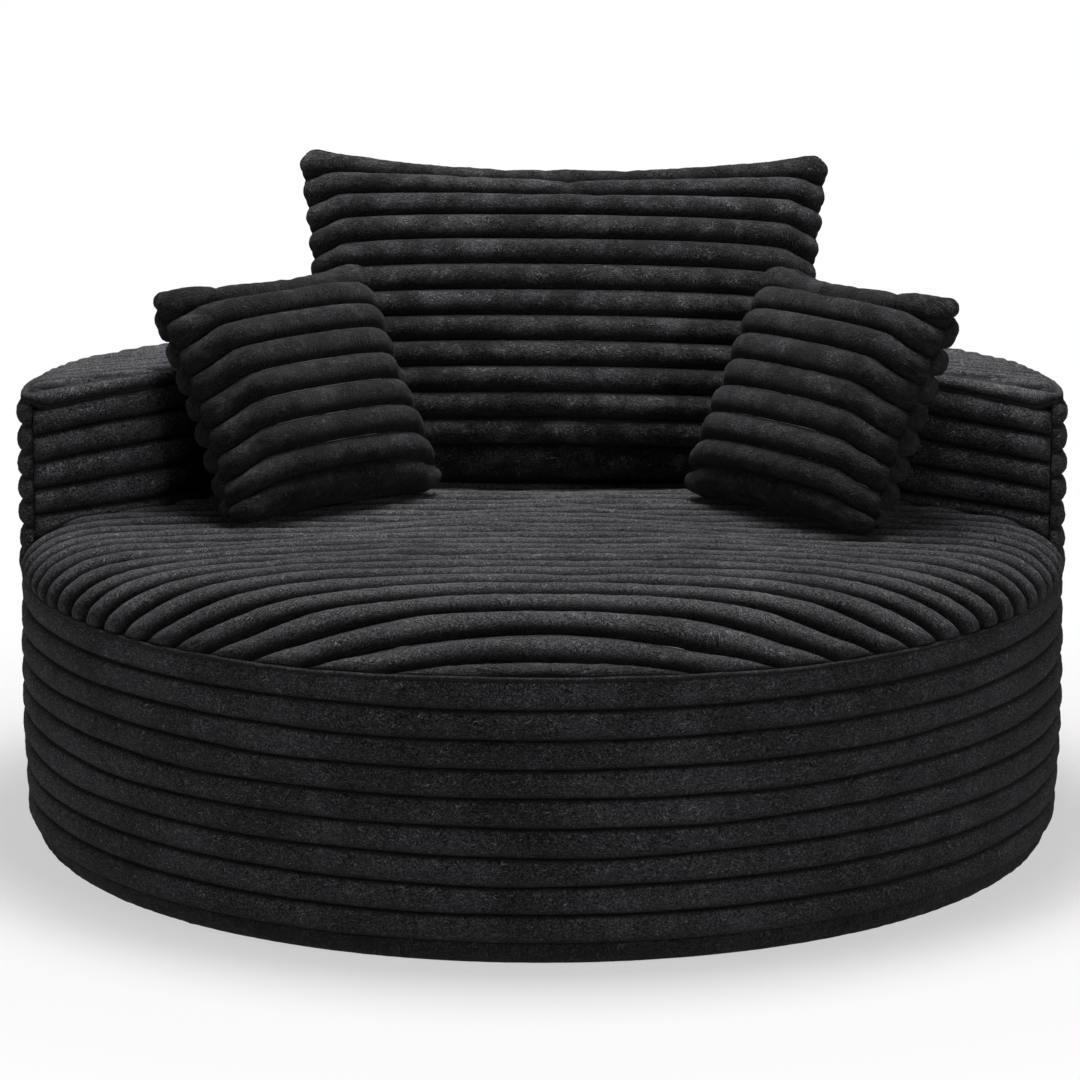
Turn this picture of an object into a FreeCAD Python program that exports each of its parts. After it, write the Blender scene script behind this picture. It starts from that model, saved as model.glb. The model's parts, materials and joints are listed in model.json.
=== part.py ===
# Round channel-plush lounge chair: a crowned drum seat, a C-shaped bolster on its rear half,
# a leaning back pillow and two throw pillows, each with its cover panels, liner, filling and zip.
# Millimetres. The origin is on the floor under the drum's axis, +Z up, and the front faces -Y.
import FreeCAD, Part
import functools
import math
import os

Vector = FreeCAD.Vector

# Channels of the plush cover
rib_pitch = 33.7
rib_bulge = 8.0
cover_depth = 12.0
gap = 0.3

# Drum seat
drum_groove_radius = 632.0
side_rib_count = 9
side_barrel = 6.0
hem_height = 30.0
base_thickness = 8.0
band_depth = 20.0
seat_crown = 74.0
seat_rake = 0.03
shoulder_power = 10
shoulder_fullness = 0.40
channel_loft_margin = 8.0
smooth_loft_margin = 2.0
welt_radius = 3.0
welt_drop = 1.5
liner_thickness = 1.7
wrap_thickness = 20.0
seat_core_height = 260.0

# Bolster
bolster_tip_y = -90.0
bolster_end_angle = 25.0
bolster_corner_radius = 200.0
cove_half_width = 376.0
cove_back_y = 398.0
cove_corner_radius = 170.0
bolster_top_middle = 590.0
bolster_top_fall = 44.0
bolster_rib_count = 6
bolster_top_depth = 18.0
bolster_base_depth = 10.0
bolster_lip_height = 12.0
band_room = 1.8
band_top_room = 1.4
strip_rise = 0.6
zip_run_out = 7.0
strip_length = 80.0
strip_width = 30.0
strip_thickness = 1.6
strip_path_radius = 520.0
strip_angles = (10.0, 50.0, 90.0, 130.0, 170.0)

# Pillows
back_width = 656.0
back_height = 386.0
back_thickness = 196.0
back_waist = 18.0
back_sag = 20.0
back_rib_count = 13
throw_width = 300.0
throw_height = 288.0
throw_thickness = 150.0
throw_waist = 8.0
throw_sag = 6.0
throw_rib_count = 9
pillow_edge = 16.0
pillow_ear_radius = 22.0
pillow_crown_power = 2.5
pillow_crown_fullness = 0.75

# Where each pillow's middle stands, how far it turns about +Z, leans back and rolls, in degrees
back_place = (28.0, 286.0)
back_turn = (0.0, 22.0, 0.0)
left_place = (-301.0, -2.0)
left_turn = (42.8, 30.3, 0.3)
right_place = (340.0, -58.0)
right_turn = (-51.7, 27.7, -0.6)
pillow_rest_gap = 0.4

# How far each pillow's channels nest between the seat's
back_nesting = 1.5
left_nesting = 0.6
right_nesting = 0.0

# Zips
tape_width = 20.0
tape_thickness = 1.2
coil_width = 5.0
coil_height = 2.4
slider_length = 12.0
slider_width = 9.2
slider_plate = 1.4
slider_wall = 1.5
bridge_height = 4.4
bridge_bar = 1.2
bridge_span = 7.0
pin_radius = 1.0
pull_length = 26.0
pull_width = 7.2
pull_thickness = 1.6
zip_sink = 9.0
seat_zip_half_angle = 80.0
bolster_zip_half_angle = 62.0
back_zip_half_length = 210.0
throw_zip_half_length = 88.0
pillow_zip_height = 0.26

seam_height = hem_height + side_rib_count * rib_pitch
seat_radius = drum_groove_radius - gap - 2.0
inner_radius = drum_groove_radius - band_depth
tall = 1000.0


def save(name, shape):
    """Write one node."""
    shape.exportStep("parts/%s.step" % name)
    print("%-28s %3d solids %10.1f cm3" % (name, len(shape.Solids), shape.Volume / 1000.0))


def bulged_edge(start, end, bulge, outward):
    """One channel's section: an arc from groove to groove, or a line where the bulge is nothing."""
    if bulge <= 0:
        return Part.makeLine(start, end)
    crest = (start + end) * 0.5 + outward * bulge
    return Part.Arc(start, crest, end).toShape()


def solid_of(wires):
    """A closed solid lofted through the wires."""
    solid = Part.makeLoft(wires, True, False)
    if solid.Volume < 0:
        solid.reverse()
    return solid


def ring(radius_in, radius_out, low, high, start=0.0, sweep=360.0):
    """A ring about +Z, whole or between two angles."""
    outer = Part.makeCylinder(radius_out, high - low, Vector(0, 0, low), Vector(0, 0, 1), sweep)
    inner = Part.makeCylinder(radius_in, high - low, Vector(0, 0, low), Vector(0, 0, 1), sweep)
    solid = outer.cut(inner)
    solid.rotate(Vector(0, 0, 0), Vector(0, 0, 1), start)
    return solid


# Seat surface

def shoulder(share):
    """How much of the crown is left at a share of the radius: full in the middle, none at the seam."""
    edge = 0.985
    inside = min(share, edge)
    value = (1 - inside ** shoulder_power) ** shoulder_fullness
    if share > edge:
        slope = shoulder_fullness * shoulder_power * edge ** (shoulder_power - 1)
        slope *= (1 - edge ** shoulder_power) ** (shoulder_fullness - 1)
        value -= slope * (share - edge)
    return value


def seat_surface(x, y, radius, drop):
    """Height of the seat's grooves, or of a layer with its own radius that lies lower by drop."""
    crown = seat_crown - seat_rake * y
    return seam_height + crown * shoulder(math.hypot(x, y) / radius) - drop


def even_rows(height, low, high, pitch, count=0):
    """Places where grooves lie evenly along the surface: a pitch apart, or a given count of channels."""
    samples = 1500
    ys = [(low + high) / 2 - (high - low) / 2 * math.cos(math.pi * i / samples) for i in range(samples + 1)]
    lengths = [0.0]
    for before, after in zip(ys, ys[1:]):
        lengths.append(lengths[-1] + math.hypot(after - before, height(0, after) - height(0, before)))
    count = count or max(2, round(lengths[-1] / pitch))
    rows = []
    at = 0
    for step in range(count + 1):
        target = lengths[-1] * step / count
        while at < samples - 1 and lengths[at + 1] < target:
            at += 1
        share = (target - lengths[at]) / (lengths[at + 1] - lengths[at])
        rows.append(ys[at] + share * (ys[at + 1] - ys[at]))
    return rows


def slab(height, half_width, rows, floor, bulge, stations):
    """The space under a surface: channels run along X, lofted through sections that face X."""
    wires = []
    for step in range(stations + 1):
        x = half_width * math.sin(math.pi * (step / stations - 0.5))
        points = [Vector(x, y, height(x, y)) for y in rows]
        edges = []
        for start, end in zip(points, points[1:]):
            run = end - start
            edges.append(bulged_edge(start, end, bulge, Vector(0, -run.z, run.y).normalize()))
        back = Vector(x, rows[-1], floor)
        front = Vector(x, rows[0], floor)
        edges += [Part.makeLine(points[-1], back), Part.makeLine(back, front), Part.makeLine(front, points[0])]
        wires.append(Part.Wire(edges))
    return solid_of(wires)


def thinned(rows):
    """Every second row, with both ends, for a smooth layer."""
    return rows[:-1:2] + rows[-1:]


def crowned_disc(radius, drop, floor, bulge=0.0, coarse=True):
    """The seat's crowned disc down to a floor height, smooth or with its channels."""
    def height(x, y):
        return seat_surface(x, y, radius, drop)

    def cover(x, y):
        return seat_surface(x, y, seat_radius, 0.0)
    rows = even_rows(cover, -seat_radius, seat_radius, rib_pitch)
    if coarse:
        rows = thinned(rows)
    rows = [y * radius / seat_radius for y in rows]
    margin = channel_loft_margin if bulge > 0 else smooth_loft_margin
    block = slab(height, radius + margin, rows, floor - 5.0, bulge, 14)
    return block.common(Part.makeCylinder(radius, tall, Vector(0, 0, floor)))


@functools.lru_cache(maxsize=None)
def seat_envelope(rise):
    """A smooth surface that lies higher than the seat's channels by rise, where the seat is nearly flat."""
    radius = seat_radius + gap + rise / 2
    return crowned_disc(radius, -rib_bulge - rise, seam_height - 20.0, 0.0, False)


def seat_imprint():
    """The seat's own channels with a clearance: the bolster's underside is pressed to their shape."""
    return crowned_disc(seat_radius + gap, -gap, seam_height - 20.0, rib_bulge, False)


# Seat pieces

def side_band():
    """Nine channels round the drum, slightly barrelled, over a straight inner wall."""
    middle = 0.42 * side_rib_count
    grooves = []
    for step in range(side_rib_count + 1):
        sag = side_barrel * ((step - middle) / middle) ** 2 / 2
        grooves.append(Vector(drum_groove_radius - sag, 0, seam_height - gap - step * rib_pitch))
    grooves[-1].z = hem_height + gap
    edges = [bulged_edge(a, b, rib_bulge, Vector(1, 0, 0)) for a, b in zip(grooves, grooves[1:])]
    low = Vector(inner_radius, 0, grooves[-1].z)
    high = Vector(inner_radius, 0, grooves[0].z)
    edges += [Part.makeLine(grooves[-1], low), Part.makeLine(low, high), Part.makeLine(high, grooves[0])]
    return Part.Face(Part.Wire(edges)).revolve(Vector(0, 0, 0), Vector(0, 0, 1), 360)


def bottom_panel():
    """The flat base with its padded hem rolled up to the side band."""
    flat = drum_groove_radius - side_barrel - hem_height
    outer = flat + hem_height
    turn = math.radians(45)
    middle = Vector(flat + hem_height * math.sin(turn), 0, hem_height - hem_height * math.cos(turn))
    points = [Vector(0, 0, 0), Vector(flat, 0, 0), Vector(outer, 0, hem_height)]
    inner = [Vector(inner_radius, 0, hem_height), Vector(inner_radius, 0, base_thickness),
             Vector(0, 0, base_thickness)]
    edges = [Part.makeLine(points[0], points[1]), Part.Arc(points[1], middle, points[2]).toShape(),
             Part.makeLine(points[2], inner[0]), Part.makeLine(inner[0], inner[1]),
             Part.makeLine(inner[1], inner[2]), Part.makeLine(inner[2], points[0])]
    return Part.Face(Part.Wire(edges)).revolve(Vector(0, 0, 0), Vector(0, 0, 1), 360)


def seat_pieces():
    """The drum from the outside in."""
    welt_place = Vector(0, 0, seam_height - welt_drop)
    welt = Part.makeTorus(drum_groove_radius + welt_radius, welt_radius, welt_place)
    welt_room = Part.makeTorus(drum_groove_radius + welt_radius, welt_radius + gap, welt_place)
    under = crowned_disc(inner_radius, cover_depth, seam_height - 40.0)
    top = crowned_disc(seat_radius, 0.0, seam_height + gap, rib_bulge, False)

    liner_out = inner_radius - gap
    liner_in = liner_out - liner_thickness
    wrap_out = liner_in - gap
    foam_radius = wrap_out - wrap_thickness - gap
    drops = [cover_depth + gap]
    drops.append(drops[0] + liner_thickness)
    drops.append(drops[1] + gap)
    drops.append(drops[2] + wrap_thickness)
    liner_floor = base_thickness + gap
    foam_floor = liner_floor + liner_thickness + gap

    liner_space = crowned_disc(liner_in, drops[1], liner_floor + liner_thickness)
    wrap_space = crowned_disc(wrap_out - wrap_thickness, drops[3], foam_floor - 1.0)
    return {
        "seat_core_foam": Part.makeCylinder(foam_radius, seat_core_height - foam_floor, Vector(0, 0, foam_floor)),
        "seat_comfort_foam": crowned_disc(foam_radius, drops[3] + gap, seat_core_height + gap),
        "seat_fibre_wrap": crowned_disc(wrap_out, drops[2], foam_floor).cut(wrap_space),
        "seat_inner_liner": crowned_disc(liner_out, drops[0], liner_floor).cut(liner_space),
        "seat_bottom_panel": bottom_panel(),
        "seat_side_band": side_band().cut(welt_room),
        "seat_top_panel": top.cut(under),
        "seat_top_welt": welt,
    }


# Bolster plan and pieces

def bolster_tip(inset):
    """The right tip's outer corner, and the end face's line through it, for a layer inset from the cover."""
    turn = math.radians(bolster_end_angle)
    along = Vector(-math.cos(turn), math.sin(turn), 0)
    inward = Vector(math.sin(turn), math.cos(turn), 0)
    corner = Vector(math.sqrt(drum_groove_radius ** 2 - bolster_tip_y ** 2), bolster_tip_y, 0)
    start = corner + inward * inset
    outer = drum_groove_radius - inset
    reach = start.dot(along)
    step = -reach - math.sqrt(reach ** 2 - start.dot(start) + outer ** 2)
    return start + along * step, along, inward, corner


def bolster_inner_path(inset):
    """Right half of the inner outline: end face, front corner, arm, cove corner, middle of the back."""
    tip, along, inward, corner = bolster_tip(inset)
    radius = bolster_corner_radius
    front_x = cove_half_width + radius
    front = corner + inward * radius
    front = front + along * ((front_x - front.x) / along.x)
    reach = radius - inset
    line_end = front - inward * reach
    arm_start = Vector(front.x - reach, front.y, 0)
    half = math.radians((90 + bolster_end_angle) / 2)
    bend = front + Vector(-math.sin(half), -math.cos(half), 0) * reach
    cove = Vector(cove_half_width - cove_corner_radius, cove_back_y - cove_corner_radius, 0)
    wide = cove_corner_radius + inset
    arm_end = Vector(cove.x + wide, cove.y, 0)
    cove_bend = cove + Vector(math.sin(math.pi / 4), math.cos(math.pi / 4), 0) * wide
    back_start = Vector(cove.x, cove.y + wide, 0)
    return tip, line_end, bend, arm_start, arm_end, cove_bend, back_start


def mirrored(point):
    return Vector(-point.x, point.y, point.z)


def bolster_prism(inset, low, high):
    """The bolster's plan outline, inset from its grooves, as an upright block."""
    tip, line_end, bend, arm_start, arm_end, cove_bend, back_start = bolster_inner_path(inset)
    rear = Vector(0, drum_groove_radius - inset, 0)
    right = [Part.makeLine(tip, line_end), Part.Arc(line_end, bend, arm_start).toShape(),
             Part.makeLine(arm_start, arm_end), Part.Arc(arm_end, cove_bend, back_start).toShape()]
    left = [Part.makeLine(mirrored(tip), mirrored(line_end)),
            Part.Arc(mirrored(line_end), mirrored(bend), mirrored(arm_start)).toShape(),
            Part.makeLine(mirrored(arm_start), mirrored(arm_end)),
            Part.Arc(mirrored(arm_end), mirrored(cove_bend), mirrored(back_start)).toShape()]
    outer = Part.Arc(mirrored(tip), rear, tip).toShape()
    middle = Part.makeLine(back_start, mirrored(back_start))
    wire = Part.Wire(Part.__sortEdges__(right + [middle] + left + [outer]))
    block = Part.Face(wire).extrude(Vector(0, 0, high - low))
    block.translate(Vector(0, 0, low))
    return block


def bolster_surface(x, y, drop=0.0):
    """Height of the bolster's top grooves: highest in the middle of the chair, lower towards the rim."""
    share = math.hypot(x, y) / drum_groove_radius
    return bolster_top_middle - bolster_top_fall * share ** 2 - drop


def bolster_top_slab(drop, bulge=0.0):
    """Everything under the bolster's top surface, or under a layer lower by drop."""
    def height(x, y):
        return bolster_surface(x, y, drop)
    reach = drum_groove_radius + 20.0
    rows = even_rows(height, bolster_tip_y - 40.0, reach, rib_pitch)
    if bulge <= 0:
        rows = thinned(rows)
    return slab(height, reach, rows, 0.0, bulge, 8)


def bolster_layer(inset, top_drop, base_rise):
    """A layer of the bolster: its outline, under its top and above the seat."""
    block = bolster_prism(inset, seam_height - 15.0, tall).common(bolster_top_slab(top_drop))
    return block.cut(seat_envelope(base_rise))


def outer_band(base):
    """The bolster's outside channels, flush with the drum's."""
    top = bolster_surface(drum_groove_radius, 0, bolster_top_depth + gap)
    grooves = [Vector(drum_groove_radius, 0, top - step * rib_pitch) for step in range(bolster_rib_count)]
    edges = [bulged_edge(a, b, rib_bulge, Vector(1, 0, 0)) for a, b in zip(grooves, grooves[1:])]
    last = Vector(drum_groove_radius, 0, seam_height + bolster_lip_height)
    edges.append(bulged_edge(grooves[-1], last, rib_bulge * 0.8, Vector(1, 0, 0)))
    radius = drum_groove_radius - cover_depth - gap
    edges += [Part.makeLine(last, Vector(radius, 0, last.z)), Part.makeLine(Vector(radius, 0, last.z),
              Vector(radius, 0, top)), Part.makeLine(Vector(radius, 0, top), grooves[0])]
    tip = bolster_tip(0.0)[3]
    low = math.degrees(math.atan2(tip.y, tip.x))
    face = Part.Face(Part.Wire(edges))
    face.rotate(Vector(0, 0, 0), Vector(0, 0, 1), low)
    band = face.revolve(Vector(0, 0, 0), Vector(0, 0, 1), 180 - 2 * low)
    return band.cut(base)


def path_stations():
    """Places and outward directions along the whole inner outline, tip to tip."""
    tip, line_end, bend, arm_start, arm_end, cove_bend, back_start = bolster_inner_path(0.0)
    edges = [Part.makeLine(tip, line_end), Part.Arc(line_end, bend, arm_start).toShape(),
             Part.makeLine(arm_start, arm_end), Part.Arc(arm_end, cove_bend, back_start).toShape(),
             Part.makeLine(back_start, Vector(0, back_start.y, 0))]
    counts = (3, 7, 2, 7, 2)
    places = []
    for edge, count in zip(edges, counts):
        first, last = edge.ParameterRange
        for step in range(count):
            value = first + (last - first) * step / count
            places.append((edge.valueAt(value), edge.tangentAt(value)))
    places.append((Vector(0, back_start.y, 0), Vector(-1, 0, 0)))
    right = [(point, Vector(-run.y, run.x, 0)) for point, run in places]
    left = [(mirrored(point), Vector(-side.x, side.y, 0)) for point, side in reversed(right[:-1])]
    return right + left


def inner_band(base):
    """The bolster's end faces and inside channels, which rise and fall with its top."""
    wires = []
    for point, front in path_stations():
        top = bolster_surface(point.x, point.y, bolster_top_depth + gap + band_top_room)
        grooves = [point + Vector(0, 0, top - step * rib_pitch) for step in range(bolster_rib_count)]
        edges = [bulged_edge(a, b, rib_bulge, front) for a, b in zip(grooves, grooves[1:])]
        back = front * -cover_depth
        edges += [Part.makeLine(grooves[-1], grooves[-1] + back),
                  Part.makeLine(grooves[-1] + back, grooves[0] + back), Part.makeLine(grooves[0] + back, grooves[0])]
        wires.append(Part.Wire(edges))
    band = solid_of(wires)
    room = Part.makeCylinder(drum_groove_radius - cover_depth - 2 * gap, tall, Vector(0, 0, 0))
    return band.common(room).cut(base)


def strips(low_rise, high_rise):
    """One layer of the fastening strips between the seat and the bolster."""
    layer = seat_envelope(high_rise).cut(seat_envelope(low_rise))
    boxes = []
    for angle in strip_angles:
        box = Part.makeBox(strip_width, strip_length, 200.0, Vector(strip_path_radius - strip_width / 2,
                           -strip_length / 2, seam_height))
        box.rotate(Vector(0, 0, 0), Vector(0, 0, 1), angle)
        boxes.append(box)
    return [layer.common(box) for box in boxes]


def strip_rooms():
    """Upright blocks a clearance larger than the strips."""
    rooms = []
    for angle in strip_angles:
        box = Part.makeBox(strip_width + 2 * gap, strip_length + 2 * gap, 200.0,
                           Vector(strip_path_radius - strip_width / 2 - gap, -strip_length / 2 - gap, seam_height))
        box.rotate(Vector(0, 0, 0), Vector(0, 0, 1), angle)
        rooms.append(box)
    return rooms


def bolster_pieces():
    """The bolster from the outside in, with the strips that hold it to the seat."""
    base = seat_imprint()
    top_block = bolster_top_slab(0.0, rib_bulge).common(bolster_prism(-4.0, seam_height, tall))
    top_panel = top_block.cut(bolster_top_slab(bolster_top_depth))
    panel_top = gap + bolster_base_depth
    liner_inset = cover_depth + band_room + gap
    liner_drop = bolster_top_depth + gap
    space_inset = liner_inset + liner_thickness
    liner_base = panel_top + gap
    foam_base = liner_base + liner_thickness + gap
    wrap_inset = space_inset + gap
    wrap_drop = liner_drop + liner_thickness + gap

    base_panel = bolster_prism(liner_inset + gap, seam_height - 15.0, tall).common(seat_envelope(panel_top))
    base_panel = base_panel.cut(base)
    strip_top = 2 * strip_thickness + strip_rise + gap
    for room in strip_rooms():
        base_panel = base_panel.cut(room.common(seat_envelope(strip_top)))
    liner = bolster_layer(liner_inset + gap, liner_drop, liner_base)
    liner = liner.cut(bolster_layer(space_inset, liner_drop + liner_thickness, liner_base + liner_thickness))
    core = bolster_layer(wrap_inset + wrap_thickness + gap, wrap_drop + wrap_thickness + gap, foam_base)
    wrap_space = bolster_prism(wrap_inset + wrap_thickness, 0.0, tall)
    wrap_space = wrap_space.common(bolster_top_slab(wrap_drop + wrap_thickness))
    loop_top = strip_rise + strip_thickness
    hook_top = loop_top + gap / 3 + strip_thickness
    return {
        "bolster_core_foam": core,
        "bolster_fibre_wrap": bolster_layer(wrap_inset, wrap_drop, foam_base).cut(wrap_space),
        "bolster_inner_liner": liner,
        "bolster_bottom_panel": base_panel,
        "bolster_outer_band": outer_band(base),
        "bolster_inner_band": inner_band(base),
        "bolster_top_panel": top_panel,
        "loop_strips": Part.makeCompound(strips(strip_rise, loop_top)),
        "hook_strips": Part.makeCompound(strips(loop_top + gap / 3, hook_top)),
    }


# Pillows, each made upright about its own middle: X across, Z up, the front faces -Y

class Pillow:
    """A ribbed cushion's sizes."""

    def __init__(self, width, height, thickness, waist, sag, ribs, zip_half):
        self.half_width = width / 2
        self.half_height = height / 2
        self.half_thickness = thickness / 2
        self.waist = waist
        self.sag = sag
        self.ribs = ribs
        self.zip_half = zip_half
        self.zip_z = -self.half_height * 2 * pillow_zip_height

    def depth(self, x, z, inset=0.0):
        """Distance from the middle plane to the grooves, or to a layer inset from them."""
        across = 1 - min(1.0, abs(x) / (self.half_width - inset)) ** pillow_crown_power
        up = 1 - min(1.0, abs(z) / (self.half_height - inset)) ** pillow_crown_power
        rise = (across * up) ** pillow_crown_fullness
        edge = max(pillow_edge - inset, 3.0)
        return edge + (self.half_thickness - inset - edge) * rise

    def zip_radius(self):
        """Radius of the arc that follows the back panel across the zip."""
        middle = self.depth(0, self.zip_z)
        fall = middle - self.depth(self.zip_half, self.zip_z)
        return (self.zip_half ** 2 + fall ** 2) / (2 * fall)


def pillow_outline(pillow, inset):
    """The drawn-in outline with its ears, as a block through the middle plane."""
    wide = pillow.half_width - inset
    high = pillow.half_height - inset
    corners = [Vector(-wide, 0, -high), Vector(wide, 0, -high), Vector(wide, 0, high), Vector(-wide, 0, high)]
    middles = [Vector(0, 0, -high + pillow.sag * 0.4), Vector(wide - pillow.waist, 0, 0),
               Vector(0, 0, high - pillow.sag), Vector(-wide + pillow.waist, 0, 0)]
    edges = [Part.Arc(corners[i], middles[i], corners[(i + 1) % 4]).toShape() for i in range(4)]
    reach = 400.0
    block = Part.Face(Part.Wire(edges)).extrude(Vector(0, 2 * reach, 0))
    block.translate(Vector(0, -reach, 0))
    upright = [edge for edge in block.Edges if abs(edge.tangentAt(edge.FirstParameter).y) > 0.99]
    return block.makeFillet(max(4.0, pillow_ear_radius - inset), upright)


def pillow_half(pillow, inset, bulge, side, back):
    """One face of a pillow down to the plane y = back * side; side is -1 in front and 1 behind."""
    def height(x, z):
        return pillow.depth(x, z)
    high = pillow.half_height
    rows = [z * (high - inset) / high for z in even_rows(height, -high, high, 0.0, pillow.ribs)]
    stations = 14
    wires = []
    for step in range(stations + 1):
        x = (pillow.half_width + 1.0) * math.sin(math.pi * (step / stations - 0.5))
        points = [Vector(x, side * pillow.depth(x, z, inset), z) for z in rows]
        edges = []
        for start, end in zip(points, points[1:]):
            run = end - start
            edges.append(bulged_edge(start, end, bulge, Vector(0, run.z, -run.y).normalize() * side))
        top = Vector(x, side * back, rows[-1])
        low = Vector(x, side * back, rows[0])
        edges += [Part.makeLine(points[-1], top), Part.makeLine(top, low), Part.makeLine(low, points[0])]
        wires.append(Part.Wire(edges))
    return solid_of(wires)


def pillow_inside(pillow, inset):
    """The smooth space inside the cover at an inset."""
    front = pillow_half(pillow, inset, 0.0, -1, 0.0)
    rear = pillow_half(pillow, inset, 0.0, 1, 0.0)
    outline = pillow_outline(pillow, inset)
    return front.common(outline).fuse(rear.common(outline)).removeSplitter()


def pillow_pieces(pillow, name):
    """Filling, inner case and the two channelled panels, with a trough for the zip behind."""
    outline = pillow_outline(pillow, 0.0)
    space = pillow_inside(pillow, cover_depth)
    case_inset = cover_depth + gap
    fill_inset = case_inset + liner_thickness
    case = pillow_inside(pillow, case_inset).cut(pillow_inside(pillow, fill_inset))
    front = pillow_half(pillow, 0.0, rib_bulge, -1, gap / 2).common(outline).cut(space)
    rear = pillow_half(pillow, 0.0, rib_bulge, 1, gap / 2).common(outline).cut(space)
    rear = rear.cut(zip_trough(pillow.zip_radius(), pillow_zip_angle(pillow), pillow_zip_base(pillow)))
    return {
        name + "_fill": pillow_inside(pillow, fill_inset + gap),
        name + "_inner_case": case,
        name + "_front_panel": front,
        name + "_back_panel": rear,
    }


def pillow_zip_angle(pillow):
    return math.degrees(pillow.zip_half / pillow.zip_radius())


def pillow_zip_base(pillow):
    """Centre of the zip's arc, in the pillow's own axes."""
    return Vector(0, pillow.depth(0, pillow.zip_z) - zip_sink - pillow.zip_radius(), pillow.zip_z)


# Zips: the tape lies on an arc about an upright axis through base, and faces outwards along +Y

def zip_trough(radius, half_angle, base):
    """Room for the tape, the coil and the slider's way, cut from the outside."""
    ends = math.degrees((slider_length + zip_run_out) / radius)
    half = tape_width / 2 + gap
    solid = ring(radius - tape_thickness - gap, radius + 60.0, -half, half, 90 - half_angle - ends,
                 2 * (half_angle + ends))
    solid.translate(base)
    return solid


def zip_box(radius, along, out, across):
    """A block on the zip at the arc's start of angle: along the tape, out from it, and across it."""
    return Part.makeBox(along[1] - along[0], out[1] - out[0], across[1] - across[0],
                        Vector(along[0], radius + out[0], across[0]))


def slider_lift():
    """Height of the slider's top plate over the tape."""
    return coil_height + 0.4


def pin_height():
    """Height of the pull's pin over the tape."""
    return slider_lift() + slider_plate + pin_radius + 0.6


def zip_slider(radius):
    """A plate and two walls astride the coil, with the bridge that holds the pull."""
    half = slider_length / 2
    side = slider_width / 2
    low = slider_lift()
    top = low + slider_plate
    bridge = top + bridge_height
    legs = bridge_span / 2
    solid = zip_box(radius, (-half, half), (low, top), (-side, side))
    for across in ((-side, -side + slider_wall), (side - slider_wall, side)):
        solid = solid.fuse(zip_box(radius, (-half, half), (0.4, low), across))
    for along in ((-legs, -legs + bridge_bar), (legs - bridge_bar, legs)):
        solid = solid.fuse(zip_box(radius, along, (top, bridge), (-pin_radius, pin_radius)))
    bar = zip_box(radius, (-legs, legs), (bridge - bridge_bar, bridge), (-pin_radius, pin_radius))
    return solid.fuse(bar).removeSplitter()


def zip_pull(radius):
    """The tab: a pin under the bridge, two arms and a plate."""
    height = pin_height()
    side = pull_width / 2
    arm = 0.8
    pin = Part.makeCylinder(pin_radius, pull_width, Vector(0, radius + height, -side), Vector(0, 0, 1))
    shoulder_at = slider_length / 2 + 1.0
    plate = zip_box(radius, (shoulder_at, pull_length), (height - pull_thickness / 2, height + pull_thickness / 2),
                    (-side, side))
    solid = pin.fuse(plate)
    for across in ((-side, -side + 1.4), (side - 1.4, side)):
        solid = solid.fuse(zip_box(radius, (0, shoulder_at), (height - arm, height + arm), across))
    return solid.removeSplitter()


def zip_pieces(name, radius, half_angle, base):
    """A closed zip: the slider stands at the start of the arc, with its tab lying along the coil."""
    coil_half = half_angle - math.degrees(2.0 / radius)
    stop = math.degrees(2.0 / radius)
    tape = ring(radius - tape_thickness, radius, -tape_width / 2, tape_width / 2, 90 - half_angle, 2 * half_angle)
    coil = ring(radius, radius + coil_height, -coil_width / 2, coil_width / 2, 90 - coil_half, 2 * coil_half)
    stops = [ring(radius, radius + coil_height + 1.0, -coil_width / 2, coil_width / 2, start, stop)
             for start in (90 - half_angle, 90 + half_angle - stop)]
    pieces = {
        name + "_zip_tape": tape,
        name + "_zip_coil": coil,
        name + "_zip_stops": Part.makeCompound(stops),
        name + "_zip_slider": zip_slider(radius),
        name + "_zip_pull": zip_pull(radius),
    }
    start = slider_start(radius, half_angle)
    for key in (name + "_zip_slider", name + "_zip_pull"):
        pieces[key].rotate(Vector(0, 0, 0), Vector(0, 0, 1), start)
    for shape in pieces.values():
        shape.translate(base)
    return pieces


def print_drum_zip(name, radius, half_angle, base):
    """Where a zip about the drum's axis has its pull's pin, and how far its slider runs."""
    start = slider_start(radius, half_angle)
    pin = FreeCAD.Rotation(Vector(0, 0, 1), start).multVec(Vector(0, radius + pin_height(), 0)) + base
    print("drum zip", name, "pull pin at", pin)
    print("zip", name, "travel", 2 * start)


def slider_start(radius, half_angle):
    """Angle from the arc's middle to the slider at rest, clear of its stop."""
    return half_angle - math.degrees((slider_length / 2 + 2.0 + 1.0) / radius)


# Placing the pillows

def turned(shape, turn):
    """Roll, lean back and turn a shape about its own middle."""
    yaw, lean, roll = turn
    shape.rotate(Vector(0, 0, 0), Vector(0, 1, 0), roll)
    shape.rotate(Vector(0, 0, 0), Vector(1, 0, 0), -lean)
    shape.rotate(Vector(0, 0, 0), Vector(0, 0, 1), yaw)


def turned_point(point, turn):
    """The same turn for a point."""
    yaw, lean, roll = turn
    spin = FreeCAD.Rotation(Vector(0, 0, 1), yaw).multiply(FreeCAD.Rotation(Vector(1, 0, 0), -lean))
    return spin.multiply(FreeCAD.Rotation(Vector(0, 1, 0), roll)).multVec(point)


def resting_height(pillow, place, turn, nesting):
    """Height of the pillow's middle at which its lowest channels rest on the seat's."""
    need = 0.0
    steps = 24
    for i in range(-steps, steps + 1):
        for j in range(-steps, steps + 1):
            for side in (-1, 1):
                x = pillow.half_width * i / steps
                z = pillow.half_height * j / steps
                point = turned_point(Vector(x, side * (pillow.depth(x, z) + rib_bulge), z), turn)
                point = point + Vector(place[0], place[1], 0)
                seat = seat_surface(point.x, point.y, seat_radius, 0.0) + rib_bulge
                need = max(need, seat + pillow_rest_gap - point.z)
    return need - nesting


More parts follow.
